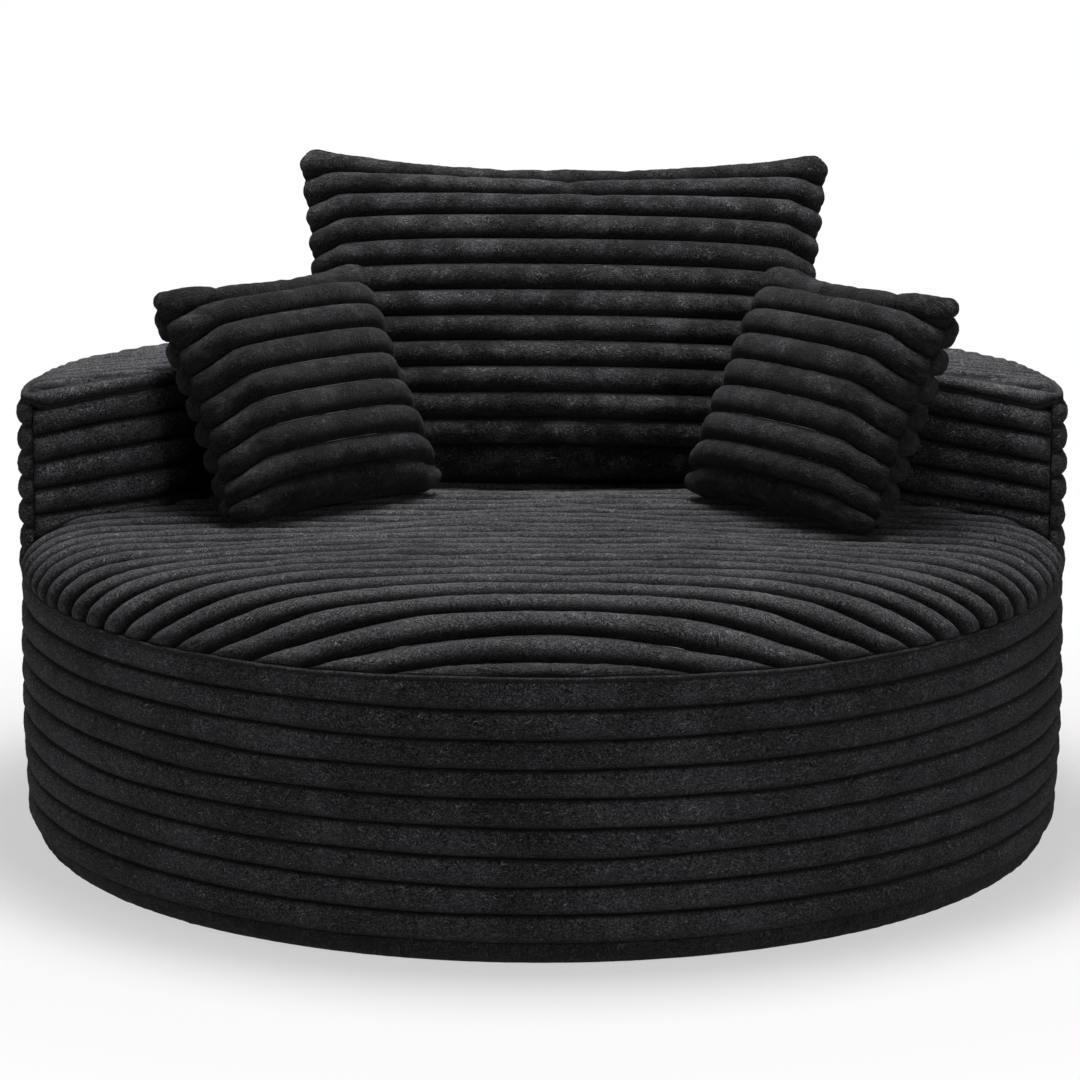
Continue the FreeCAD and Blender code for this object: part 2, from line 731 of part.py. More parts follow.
def place_pillow(pillow, name, place, turn, nesting):
    """All pieces of one pillow, leaned and stood on the seat."""
    pieces = pillow_pieces(pillow, name)
    pieces.update(zip_pieces(name, pillow.zip_radius(), pillow_zip_angle(pillow), pillow_zip_base(pillow)))
    middle = Vector(place[0], place[1], resting_height(pillow, place, turn, nesting))
    for shape in pieces.values():
        turned(shape, turn)
        shape.translate(middle)
    base = pillow_zip_base(pillow)
    axis = turned_point(Vector(0, 0, 1), turn)
    spin = FreeCAD.Rotation(Vector(0, 0, 1), slider_start(pillow.zip_radius(), pillow_zip_angle(pillow)))
    pin = base + spin.multVec(Vector(0, pillow.zip_radius() + pin_height(), 0))
    print(name, "middle", middle, "zip axis at", turned_point(base, turn) + middle, "along", axis,
          "pull pin at", turned_point(pin, turn) + middle)
    print("zip", name, "travel", 2 * slider_start(pillow.zip_radius(), pillow_zip_angle(pillow)))
    return pieces


os.makedirs("parts", exist_ok=True)
nodes = seat_pieces()
seat_zip_radius = drum_groove_radius - 16.0
seat_zip_base = Vector(0, 0, hem_height * 0.56)
nodes["seat_bottom_panel"] = nodes["seat_bottom_panel"].cut(
    zip_trough(seat_zip_radius, seat_zip_half_angle, seat_zip_base))
nodes.update(zip_pieces("seat", seat_zip_radius, seat_zip_half_angle, seat_zip_base))
print_drum_zip("seat", seat_zip_radius, seat_zip_half_angle, seat_zip_base)

nodes.update(bolster_pieces())
bolster_zip_radius = drum_groove_radius - zip_sink + 4.0
bolster_zip_base = Vector(0, 0, seam_height + 1.75 * rib_pitch)
nodes["bolster_outer_band"] = nodes["bolster_outer_band"].cut(
    zip_trough(bolster_zip_radius, bolster_zip_half_angle, bolster_zip_base))
nodes.update(zip_pieces("bolster", bolster_zip_radius, bolster_zip_half_angle, bolster_zip_base))
print_drum_zip("bolster", bolster_zip_radius, bolster_zip_half_angle, bolster_zip_base)

back_pillow = Pillow(back_width, back_height, back_thickness, back_waist, back_sag, back_rib_count,
                     back_zip_half_length)
throw_pillow = Pillow(throw_width, throw_height, throw_thickness, throw_waist, throw_sag, throw_rib_count,
                      throw_zip_half_length)
nodes.update(place_pillow(back_pillow, "back_pillow", back_place, back_turn, back_nesting))
nodes.update(place_pillow(throw_pillow, "left_pillow", left_place, left_turn, left_nesting))
nodes.update(place_pillow(throw_pillow, "right_pillow", right_place, right_turn, right_nesting))

for node, shape in nodes.items():
    save(node, shape)
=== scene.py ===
# Round channel-plush lounge chair: its looks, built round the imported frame.
# Metres, +Z up. The drum's axis is Z and the front faces -Y.
import json
import math
import bpy
import numpy as np
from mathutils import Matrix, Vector


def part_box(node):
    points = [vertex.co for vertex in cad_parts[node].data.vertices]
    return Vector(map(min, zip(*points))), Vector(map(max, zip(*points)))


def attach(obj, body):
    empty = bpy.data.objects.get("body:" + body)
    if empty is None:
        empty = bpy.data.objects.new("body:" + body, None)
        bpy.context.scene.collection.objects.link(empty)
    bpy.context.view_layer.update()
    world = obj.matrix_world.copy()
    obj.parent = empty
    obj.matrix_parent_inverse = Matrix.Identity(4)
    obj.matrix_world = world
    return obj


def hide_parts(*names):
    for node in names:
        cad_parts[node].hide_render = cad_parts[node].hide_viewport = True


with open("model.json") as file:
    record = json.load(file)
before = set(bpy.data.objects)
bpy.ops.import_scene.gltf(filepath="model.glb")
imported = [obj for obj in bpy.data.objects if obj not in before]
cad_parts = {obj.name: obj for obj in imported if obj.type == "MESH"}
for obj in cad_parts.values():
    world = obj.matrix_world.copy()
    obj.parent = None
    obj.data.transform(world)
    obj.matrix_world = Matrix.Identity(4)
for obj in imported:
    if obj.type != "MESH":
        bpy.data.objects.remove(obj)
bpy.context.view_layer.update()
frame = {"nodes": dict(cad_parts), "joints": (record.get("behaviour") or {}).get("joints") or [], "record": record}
slots = {part["node"]: part["material_slot"] for part in frame["record"]["subparts"]}
print("frame loaded", len(frame["nodes"]), "nodes")

view = {
    "place": (-0.0026, -6.015, 1.660),
    "tilt": 77.79,  # degrees up from straight down
    "lens": 166.67,
    "sensor": 36.0,
    "reach": 60.0,
}


def added(name, data):
    thing = bpy.data.objects.new(name, data)
    bpy.context.scene.collection.objects.link(thing)
    return thing


def addCamera():
    data = bpy.data.cameras.new("camera")
    data.lens = view["lens"]
    data.sensor_width = view["sensor"]
    data.clip_end = view["reach"]
    camera = added("camera", data)
    camera.location = view["place"]
    camera.rotation_euler = (math.radians(view["tilt"]), 0.0, 0.0)
    bpy.context.scene.camera = camera


addCamera()
bpy.context.scene.view_settings.view_transform = "Standard"


# Node helpers

def place(tree, kind, inputs=None, **settings):
    node = tree.nodes.new(kind)
    for key, value in settings.items():
        setattr(node, key, value)
    for key, value in (inputs or {}).items():
        if isinstance(value, bpy.types.NodeSocket):
            tree.links.new(value, node.inputs[key])
        else:
            node.inputs[key].default_value = value
    return node


def calc(tree, operation, *terms):
    return place(tree, "ShaderNodeMath", dict(enumerate(terms)), operation=operation).outputs[0]


def vectorCalc(tree, operation, first, second):
    other = "Scale" if operation == "SCALE" else 1
    return place(tree, "ShaderNodeVectorMath", {0: first, other: second}, operation=operation).outputs[0]


def noiseOf(tree, vector, scale, detail, **more):
    more = {key.title(): value for key, value in more.items()}
    inputs = {"Vector": vector, "Scale": scale, "Detail": detail, **more}
    return place(tree, "ShaderNodeTexNoise", inputs).outputs[0]


def ranged(tree, value, low, high, first=0.0, last=1.0, kind="SMOOTHSTEP"):
    inputs = {"Value": value, "From Min": low, "From Max": high, "To Min": first, "To Max": last}
    return place(tree, "ShaderNodeMapRange", inputs, interpolation_type=kind).outputs[0]


def colourMix(tree, factor, first, last, clamp=True):
    inputs = {"Factor": factor, 6: first, 7: last}
    return place(tree, "ShaderNodeMix", inputs, data_type="RGBA", clamp_factor=clamp).outputs[2]


def newMaterial(name):
    material = bpy.data.materials.new(name)
    material.use_nodes = True
    return material, material.node_tree, material.node_tree.nodes["Principled BSDF"]


def addSockets(tree, direction, sockets):
    for name, kind, value in sockets:
        socket = tree.interface.new_socket(name=name, in_out=direction, socket_type="NodeSocket" + kind)
        if value is not None:
            socket.default_value = value


def floats(values):
    return [(name, "Float", value) for name, value in values.items()]


def centred(tree, value, reach):
    return calc(tree, "MULTIPLY", calc(tree, "SUBTRACT", value, 0.5), reach)


# Channels of the plush, laid over a smooth base form

channels = {
    "pitch": 0.0337,
    "steps": (0.0, 0.045, 0.14, 0.30, 0.5, 0.70, 0.86, 0.955),  # rows of the mesh across one channel
    "endRound": 0.013,
    "fullness": 0.6,  # lower is fuller
    "weld": 0.00002,
}
ribs = {  # what a cover's own values can change
    "Channel Depth": 0.008,
    "Groove Cut": 0.30,  # how far the stitched groove sinks below the base, as a share of the depth
    "Arch Power": 2.3,  # higher is flatter on top
    "Swell Share": 0.35,  # how much the depth changes along a channel
    "Swell Scale": 7.0,
    "Clump Depth": 0.0016,
    "Clump Scale": 38.0,
    "Tuft Depth": 0.0010,
    "Tuft Scale": 130.0,
    "Seed": 1.0,
}


def channelTree():
    tree = bpy.data.node_groups.new("plushChannels", "GeometryNodeTree")
    addSockets(tree, "INPUT", (("Geometry", "Geometry", None), *floats(ribs), ("Material", "Material", None)))
    addSockets(tree, "OUTPUT", (("Geometry", "Geometry", None),))
    given = tree.nodes.new("NodeGroupInput").outputs
    merged = place(tree, "GeometryNodeMergeByDistance", {
        "Geometry": given["Geometry"], "Distance": channels["weld"]})

    def named(name, kind="FLOAT"):
        node = place(tree, "GeometryNodeInputNamedAttribute", {"Name": name}, data_type=kind)
        return next(o for o in node.outputs if o.enabled and o.name == "Attribute")

    # The section of a channel: 0 in the grooves at its edges, 1 on its crest
    channel = named("channel")
    pile = place(tree, "ShaderNodeSeparateXYZ", {0: named("pile", "FLOAT_VECTOR")})
    away = calc(tree, "ABSOLUTE", calc(tree, "MULTIPLY_ADD", calc(tree, "FRACT", channel), 2.0, -1.0))
    arch = calc(tree, "SUBTRACT", 1.0, calc(tree, "POWER", away, given["Arch Power"]))
    arch = calc(tree, "POWER", arch, channels["fullness"])
    arch = calc(tree, "SUBTRACT", calc(tree, "MULTIPLY", arch, calc(tree, "ADD", given["Groove Cut"], 1.0)),
                given["Groove Cut"])
    swellPoint = place(tree, "ShaderNodeCombineXYZ", {
        0: calc(tree, "MULTIPLY", pile.outputs[0], given["Swell Scale"]),
        1: calc(tree, "MULTIPLY", calc(tree, "FLOOR", channel), 7.3),
        2: given["Seed"]}).outputs[0]
    swell = centred(tree, noiseOf(tree, swellPoint, 1.0, 2.0), 2.0)
    swell = calc(tree, "ADD", calc(tree, "MULTIPLY", swell, given["Swell Share"]), 1.0)
    depth = calc(tree, "MULTIPLY", calc(tree, "MULTIPLY", arch, swell), given["Channel Depth"])
    depth = calc(tree, "MULTIPLY", depth, named("relief"))

    position = tree.nodes.new("GeometryNodeInputPosition").outputs[0]

    def lump(scale, reach, detail):
        noise = place(tree, "ShaderNodeTexNoise", {"Vector": position, "W": given["Seed"], "Scale": scale,
                                                   "Detail": detail}, noise_dimensions="4D")
        return calc(tree, "MULTIPLY", centred(tree, noise.outputs[0], 2.0), reach)

    fluff = calc(tree, "ADD", lump(given["Clump Scale"], given["Clump Depth"], 2.0),
                 lump(given["Tuft Scale"], given["Tuft Depth"], 1.0))
    rise = calc(tree, "MULTIPLY_ADD", fluff, named("fluffy"), depth)
    normal = tree.nodes.new("GeometryNodeInputNormal").outputs[0]
    moved = place(tree, "GeometryNodeSetPosition", {
        "Geometry": merged.outputs[0], "Offset": vectorCalc(tree, "SCALE", normal, rise)})
    smooth = place(tree, "GeometryNodeSetShadeSmooth", {"Geometry": moved.outputs[0]})
    dressed = place(tree, "GeometryNodeSetMaterial", {
        "Geometry": smooth.outputs[0], "Material": given["Material"]})
    whole = place(tree, "GeometryNodeRealizeInstances", {"Geometry": dressed.outputs[0]})
    place(tree, "NodeGroupOutput", {0: whole.outputs[0]})
    return tree


plushTree = channelTree()


def channelRows(low, high):
    rows = [k + step for k in range(math.floor(low), math.ceil(high)) for step in channels["steps"]]
    rows = [low] + [r for r in rows if low + 0.02 < r < high - 0.02] + [high]
    return np.array(rows)


def endRounded(distance, reach=channels["endRound"]):
    share = np.clip(distance / reach, 0.0, 1.0)
    return np.sqrt(np.clip(1 - (1 - share) ** 2, 0, 1))


def eased(share):
    share = np.clip(share, 0.0, 1.0)
    return share * share * (3 - 2 * share)


def gridOf(x, y, z):
    return np.stack(np.broadcast_arrays(x, y, z), -1)


def around(radius, angle):
    return radius * np.cos(angle), radius * np.sin(angle)


def quadsOf(index):
    return np.stack([index[:-1, :-1], index[:-1, 1:], index[1:, 1:], index[1:, :-1]], -1).reshape(-1, 4)


def sheetOf(points, out, channel=0.0, relief=0.0, fluffy=0.0, along=0.0, across=0.0, wrap=(False, False)):
    # A grid of points as quads that face `out`, with what the channels need to know at each point
    shape = points.shape[:2]
    full = {"channel": channel, "relief": relief, "fluffy": fluffy, "along": along, "across": across}
    full = {key: np.broadcast_to(np.asarray(value, float), shape).ravel() for key, value in full.items()}
    index = np.arange(shape[0] * shape[1]).reshape(shape)
    if wrap[0]:
        index = np.vstack([index, index[:1]])
    if wrap[1]:
        index = np.hstack([index, index[:, :1]])
    quads = quadsOf(index)
    flat = points.reshape(-1, 3)
    normals = np.cross(flat[quads[:, 2]] - flat[quads[:, 0]], flat[quads[:, 3]] - flat[quads[:, 1]])
    outward = np.broadcast_to(np.asarray(out, float), points.shape).reshape(-1, 3)[quads[:, 0]]
    if (normals * outward).sum() < 0:
        quads = quads[:, ::-1]
    return {"points": flat, "quads": quads, **full}


def meshOf(name, sheets):
    def joined(key):
        return np.concatenate([s[key] for s in sheets])
    mesh = bpy.data.meshes.new(name)
    points = joined("points")
    starts = np.cumsum([0] + [len(s["points"]) for s in sheets[:-1]])
    quads = np.concatenate([s["quads"] + start for s, start in zip(sheets, starts)])
    mesh.vertices.add(len(points))
    mesh.vertices.foreach_set("co", points.astype(np.float32).ravel())
    mesh.loops.add(quads.size)
    mesh.loops.foreach_set("vertex_index", quads.astype(np.int32).ravel())
    mesh.polygons.add(len(quads))
    mesh.polygons.foreach_set("loop_start", (np.arange(len(quads)) * 4).astype(np.int32))
    mesh.update(calc_edges=True)
    for key in ("channel", "relief", "fluffy"):
        mesh.attributes.new(key, "FLOAT", "POINT").data.foreach_set("value", joined(key).astype(np.float32))
    pile = gridOf(joined("along"), joined("across"), 0.0).astype(np.float32)
    mesh.attributes.new("pile", "FLOAT_VECTOR", "POINT").data.foreach_set("vector", pile.ravel())
    return mesh


def plushPiece(name, sheets, material, body, nodes, fill, **values):
    # The channels are laid on once, and the piece keeps the result
    piece = added(name, meshOf(name + "Base", sheets))
    modifier = piece.modifiers.new("channels", "NODES")
    modifier.node_group = plushTree
    wanted = {key.replace("_", " ").title(): value for key, value in values.items()}
    wanted["Material"] = material
    for item in plushTree.interface.items_tree:
        if item.item_type == "SOCKET" and item.in_out == "INPUT" and item.name in wanted:
            modifier[item.identifier] = wanted[item.name]
    graph = bpy.context.evaluated_depsgraph_get()
    made = bpy.data.meshes.new_from_object(piece.evaluated_get(graph), depsgraph=graph)
    piece.modifiers.clear()
    piece.data = made
    made.name = name
    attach(piece, body)
    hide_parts(*nodes)
    print("made", name, len(made.polygons), "faces")


# Materials

grain = {
    "swirl": 34.0,
    "bend": 0.022,
    "streaks": (330.0, 620.0, 1.0),  # to the metre along and across a channel
    "specks": 430.0,
    "speckShare": 0.30,
    "tufts": 0.62,
    "napSpan": (0.39, 0.62),
    "napPower": 1.8,
    "fleckSpan": (0.57, 0.72),
    "grooveEnd": 0.94,
    "lowSpan": (0.02, 0.40),
    "pressed": 0.4,  # painted shade: how bright the pile is where its relief is low, at seams, welt, hem, zips and where parts meet
    "rough": (0.25, 0.72),
    "bump": 0.006,
}
pileLook = {  # what a cover's own values can change
    "Streak Scale": 1.0,
    "Patch Scale": 9.0,
    "Patch Strength": 0.35,
    "Fleck": 1.6,
    "Low Edge": 0.0,
    "Low Shade": 0.6,
    "Groove Shade": 0.95,
    "Groove Start": 0.62,
    "Bump": 1.0,
}


def plushShadeGroup():
    tree = bpy.data.node_groups.new("plushPile", "ShaderNodeTree")
    addSockets(tree, "INPUT", (
        ("Deep Colour", "Color", (0.0015, 0.0015, 0.0017, 1)),
        ("Tip Colour", "Color", (0.05, 0.05, 0.053, 1)),
        *floats(pileLook),
    ))
    addSockets(tree, "OUTPUT", (
        ("Colour", "Color", None),
        ("Roughness", "Float", None),
        ("Normal", "Vector", None),
    ))
    given = tree.nodes.new("NodeGroupInput").outputs
    spot = tree.nodes.new("ShaderNodeTexCoord").outputs["Object"]
    run = place(tree, "ShaderNodeAttribute", attribute_name="pile").outputs["Vector"]
    channel = place(tree, "ShaderNodeAttribute", attribute_name="channel").outputs["Fac"]
    relief = place(tree, "ShaderNodeAttribute", attribute_name="relief").outputs["Fac"]
    swirl = place(tree, "ShaderNodeTexNoise", {"Vector": spot, "Scale": grain["swirl"], "Detail": 2.0})
    bend = vectorCalc(tree, "SUBTRACT", swirl.outputs["Color"], (0.5, 0.5, 0.5))
    laid = vectorCalc(tree, "ADD", run, vectorCalc(tree, "SCALE", bend, grain["bend"]))
    laid = vectorCalc(tree, "MULTIPLY", laid, grain["streaks"])
    laid = vectorCalc(tree, "SCALE", laid, given["Streak Scale"])
    streak = noiseOf(tree, laid, 1.0, 2.0, roughness=0.6, distortion=1.4)
    speck = noiseOf(tree, spot, grain["specks"], 1.0, roughness=0.6)
    patch = noiseOf(tree, spot, given["Patch Scale"], 5.0, roughness=0.62, distortion=0.4)
    tuft = noiseOf(tree, laid, grain["tufts"], 1.0, roughness=0.7, distortion=2.2)
    fine = calc(tree, "ADD", calc(tree, "MULTIPLY", streak, 1 - grain["speckShare"]),
                calc(tree, "MULTIPLY", speck, grain["speckShare"]))
    lift = calc(tree, "MULTIPLY", centred(tree, patch, 2.0), given["Patch Strength"])
    nap = ranged(tree, calc(tree, "ADD", fine, lift), *grain["napSpan"], kind="LINEAR")
    nap = calc(tree, "POWER", nap, grain["napPower"])
    fleck = ranged(tree, calc(tree, "MULTIPLY_ADD", lift, 0.4, tuft), *grain["fleckSpan"], kind="LINEAR")
    nap = calc(tree, "MULTIPLY_ADD", fleck, given["Fleck"], nap)
    share = calc(tree, "FRACT", channel)
    away = calc(tree, "ABSOLUTE", calc(tree, "MULTIPLY_ADD", share, 2.0, -1.0))
    # Painted shade in the grooves: each channel is darkened towards its edges
    groove = ranged(tree, away, given["Groove Start"], grain["grooveEnd"])
    shade = calc(tree, "SUBTRACT", 1.0, calc(tree, "MULTIPLY", groove, given["Groove Shade"]))
    # Painted shade: one flank of each channel is darker, the lower flank on upright covers and pillows and the
    # front flank on the seat and bolster tops
    low = calc(tree, "ABSOLUTE", calc(tree, "SUBTRACT", share, given["Low Edge"]))
    low = calc(tree, "MULTIPLY", ranged(tree, low, *grain["lowSpan"], 1.0, 0.0), given["Low Shade"])
    shade = calc(tree, "MULTIPLY", shade, calc(tree, "SUBTRACT", 1.0, low))
    # Painted shade where the relief is low: seams, welt, hem, zips and where parts meet or rest on each other
    lowReliefShading = calc(tree, "MULTIPLY_ADD", relief, 1 - grain["pressed"], grain["pressed"])
    shade = calc(tree, "MULTIPLY", shade, lowReliefShading)
    mix = colourMix(tree, nap, given["Deep Colour"], given["Tip Colour"], False)
    shaded = vectorCalc(tree, "SCALE", mix, shade)
    bump = place(tree, "ShaderNodeBump", {
        "Height": fine, "Strength": given["Bump"], "Distance": grain["bump"]})
    rough = calc(tree, "MULTIPLY_ADD", fine, *grain["rough"])
    place(tree, "NodeGroupOutput", {0: shaded, 1: rough, 2: bump.outputs[0]})
    return tree


plushShade = plushShadeGroup()


def plushMaterial(name, tip, **values):
    material, tree, shader = newMaterial(name)
    group = tree.nodes.new("ShaderNodeGroup")
    group.node_tree = plushShade
    group.inputs["Tip Colour"].default_value = (tip, tip, tip * 1.10, 1)
    for key, value in values.items():
        group.inputs[key.replace("_", " ").title()].default_value = value
    for output, target in (("Colour", "Base Color"), ("Roughness", "Roughness"), ("Normal", "Normal")):
        tree.links.new(group.outputs[output], shader.inputs[target])
    shader.inputs["Sheen Weight"].default_value = 0.12
    shader.inputs["Sheen Roughness"].default_value = 0.45
    shader.inputs["Sheen Tint"].default_value = (0.75, 0.76, 0.8, 1)
    shader.inputs["Specular IOR Level"].default_value = 0.15
    material.diffuse_color = (tip, tip, tip, 1)
    return material


# One black plush in every cover: its tip colour and shade values are set per piece as painted light and shade,
# brighter on the seat and bolster tops and darker on the upright bands and pillows
plush = {
    "seat": plushMaterial("seatPlush", 0.165, patch_strength=0.10, groove_start=0.42, groove_shade=1.0,
                          low_shade=0.82, streak_scale=1.3),
    "side": plushMaterial("sidePlush", 0.135, patch_strength=0.14, groove_start=0.70, low_edge=1.0,
                          low_shade=0.35, fleck=2.2),
    "bolster": plushMaterial("bolsterPlush", 0.105, patch_strength=0.22, low_edge=1.0, low_shade=0.5,
                             fleck=2.2),
    "bolsterTop": plushMaterial("bolsterTopPlush", 0.20, patch_strength=0.10, groove_start=0.30,
                                groove_shade=1.0, low_shade=0.97, streak_scale=1.3),
    "backPillow": plushMaterial("backPillowPlush", 0.040, patch_strength=0.45, patch_scale=19.0, fleck=3.2,
                                groove_start=0.55, low_shade=0.75),
    "throwPillow": plushMaterial("throwPillowPlush", 0.017, patch_strength=0.55, patch_scale=22.0, fleck=4.2,
                                 groove_start=0.55, low_shade=0.65),
}
print("materials made")

# Plain finishes of what stays from the frame

def plainMaterial(name, colour, roughness, scale, bump, metallic=0.0):
    material, tree, shader = newMaterial(name)
    spot = tree.nodes.new("ShaderNodeTexCoord").outputs["Object"]
    noise = noiseOf(tree, spot, scale, 4.0)
    dark = (*(c * 0.7 for c in colour), 1)
    light = (*(min(1.0, c * 1.25) for c in colour), 1)
    tree.links.new(colourMix(tree, noise, dark, light), shader.inputs["Base Color"])
    tree.links.new(calc(tree, "MULTIPLY_ADD", noise, 0.2, roughness - 0.1), shader.inputs["Roughness"])
    height = place(tree, "ShaderNodeBump", {"Height": noise, "Strength": bump, "Distance": 0.001})
    tree.links.new(height.outputs[0], shader.inputs["Normal"])
    shader.inputs["Metallic"].default_value = metallic
    return material


finishes = {
    "foam": plainMaterial("foam", (0.80, 0.72, 0.48), 0.9, 400.0, 0.8),
    "polyester_fibre": plainMaterial("fibre", (0.80, 0.80, 0.80), 0.95, 120.0, 1.0),
    "lining": plainMaterial("lining", (0.62, 0.62, 0.60), 0.8, 900.0, 0.4),
    "hook_and_loop": plainMaterial("hookAndLoop", (0.02, 0.02, 0.02), 0.9, 1500.0, 1.0),
    "base_cloth": plainMaterial("baseCloth", (0.012, 0.012, 0.013), 0.85, 1200.0, 0.6),
    "welt": plush["side"],
    "plush": plush["side"],
    "zip_tape": plainMaterial("zipTape", (0.012, 0.012, 0.013), 0.8, 1600.0, 0.6),
    "zip_coil": plainMaterial("zipCoil", (0.02, 0.02, 0.02), 0.45, 700.0, 0.5),
    "zip_metal": plainMaterial("zipMetal", (0.05, 0.05, 0.052), 0.35, 60.0, 0.1, 1.0),
}
for nodeName, slotName in slots.items():
    worn = frame["nodes"][nodeName].data.materials
    worn.clear()
    worn.append(finishes[slotName])
print("frame dressed")


# Drum seat

seamGap = 0.0003
drum = {
    "seam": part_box("seat_top_panel")[0].z - seamGap,
    "grooveRadius": 0.632,
    "sideChannels": 9,
    "barrel": 0.006,
    "widest": 0.42,  # share of the side's height, from the top, where it is widest
    "hemHeight": 0.030,
    "wallRadius": 0.612,
    "coverDepth": 0.012,
    "baseThickness": 0.008,
    "columns": 281,
    "sideColumns": 720,
    "sideFlatness": 2.8,
    "sideGroove": 0.36,
    "sideSway": 0.0022,
}
seatRibs = {
    "depth": 0.0115,
    "groove": 0.40,
    "clumps": 0.0011,
    "wander": 0.0034,
    "calmRim": 0.06,  # share of the radius where the channels stop wandering
    "rimRound": 0.017,
    "narrowing": 0.0085,  # the first channel in front is drawn in under the seam
    "tuckHalf": 0.20,
    "tuckDepth": 0.35,
    "tuckRuffle": 1.3,
}
seamLift = {"rise": 0.0052, "half": 0.24, "from": 0.4, "band": 0.045}  # the seam is drawn up in front

seatProfile = {  # height of the grooves over the floor by radius: in front the shoulder slopes more
    "front": ((0.0, 0.3990), (0.20, 0.4060), (0.40, 0.4100), (0.47, 0.4085), (0.520, 0.4045), (0.554, 0.3970),
              (0.580, 0.3850), (0.596, 0.3690), (0.609, 0.3520), (0.620, 0.3410), (0.6297, 0.3336)),
    "side": ((0.0, 0.3990), (0.20, 0.3985), (0.40, 0.3975), (0.50, 0.3950), (0.555, 0.3910), (0.584, 0.3850),
             (0.604, 0.3770), (0.619, 0.3660), (0.628, 0.3530), (0.6302, 0.3420), (0.6297, 0.3336)),
    "rear": ((0.0, 0.3990), (0.20, 0.3910), (0.40, 0.3860), (0.50, 0.3850), (0.555, 0.3830), (0.584, 0.3780),
             (0.604, 0.3710), (0.619, 0.3610), (0.628, 0.3500), (0.6302, 0.3410), (0.6297, 0.3336)),
    "dent": {"depth": 0.017, "x": 0.028, "y": 0.175, "half": 0.29, "reach": 0.085},  # under the back pillow
    "frontSpan": (0.50, 0.93),  # how far a direction faces front where that profile starts and is whole
}


def curved(p, t):
    # A smooth curve from p[1] to p[2], led by the points beside them
    return 0.5 * (2 * p[1] + (p[2] - p[0]) * t + (2 * p[0] - 5 * p[1] + 4 * p[2] - p[3]) * t ** 2
                  + (3 * p[1] - p[0] - 3 * p[2] + p[3]) * t ** 3)


def smoothLine(points, count=400):
    points = np.array(points)
    ends = np.concatenate([[2 * points[0] - points[1]], points, [2 * points[-1] - points[-2]]])
    places = np.linspace(0, len(points) - 1, count)
    first = np.clip(np.floor(places).astype(int), 0, len(points) - 2)
    line = curved([ends[first + k] for k in range(4)], (places - first)[:, None])
    length = np.concatenate([[0], np.cumsum(np.hypot(*np.diff(line, axis=0).T))])
    return np.stack([length / length[-1], line[:, 0], line[:, 1]]), length[-1]


seatLines = {key: smoothLine(seatProfile[key])[0] for key in ("front", "rear", "side")}
seatLength = {key: smoothLine(seatProfile[key])[1] for key in seatLines}


def facing(x, y):
    radius = np.maximum(np.hypot(x, y), 1e-9)
    low, high = seatProfile["frontSpan"]
    front = eased((-y / radius - low) / (high - low))
    rear = np.clip(y / radius, 0, 1) ** 2
    return front, rear, 1 - front - rear


def dented(x, y):
    dent = seatProfile["dent"]
    across = 1 - eased((np.abs(x - dent["x"]) - dent["half"] + 0.05) / 0.10)
    return dent["depth"] * across * np.exp(-((y - dent["y"]) / dent["reach"]) ** 2)


def seamRise(x, y):
    return seamLift["rise"] * np.exp(-(x / seamLift["half"]) ** 2) * eased(-y / seamLift["from"])


def seatPoint(a, b):  # a and b are where the point lies on the flat cover, in shares of its radius
    share = np.clip(np.hypot(a, b), 0, 1)
    weights = facing(a, b)
    radius, z = (sum(w * np.interp(share, line[0], line[k]) for w, line in zip(weights, seatLines.values()))
                 for k in (1, 2))
    scale = radius / np.maximum(share, 1e-9)
    x, y = a * scale, b * scale
    atRim = eased((share - 1 + seamLift["band"]) / seamLift["band"])
    return np.stack([x, y, z - dented(x, y) + seamRise(x, y) * atRim], -1)


def seatHeight(x, y, drop=0.0):
    heights = [np.interp(np.hypot(x, y), line[1], line[2]) for line in seatLines.values()]
    return sum(w * h for w, h in zip(facing(x, y), heights)) - dented(x, y) - drop


def evenRows(height, low, high):
    # Channel rows along Y at even distances over the surface
    angle = np.linspace(0, math.pi, 4001)
    ys = (low + high) / 2 - (high - low) / 2 * np.cos(angle)
    zs = height(np.zeros_like(ys), ys)
    lengths = np.concatenate([[0], np.cumsum(np.hypot(np.diff(ys), np.diff(zs)))])
    count = round(lengths[-1] / channels["pitch"])
    rows = channelRows(0, count)
    return rows, np.interp(rows / count * lengths[-1], lengths, ys)


def waved(seed, values, scale, reach):
    draw = np.random.default_rng(seed)
    total = np.zeros_like(values)
    for octave in range(4):
        phase = draw.uniform(0, 2 * math.pi)
        total = total + np.sin(values * scale * (1.0 + 0.83 * octave) + phase) / (1 + octave)
    return total * reach / 2


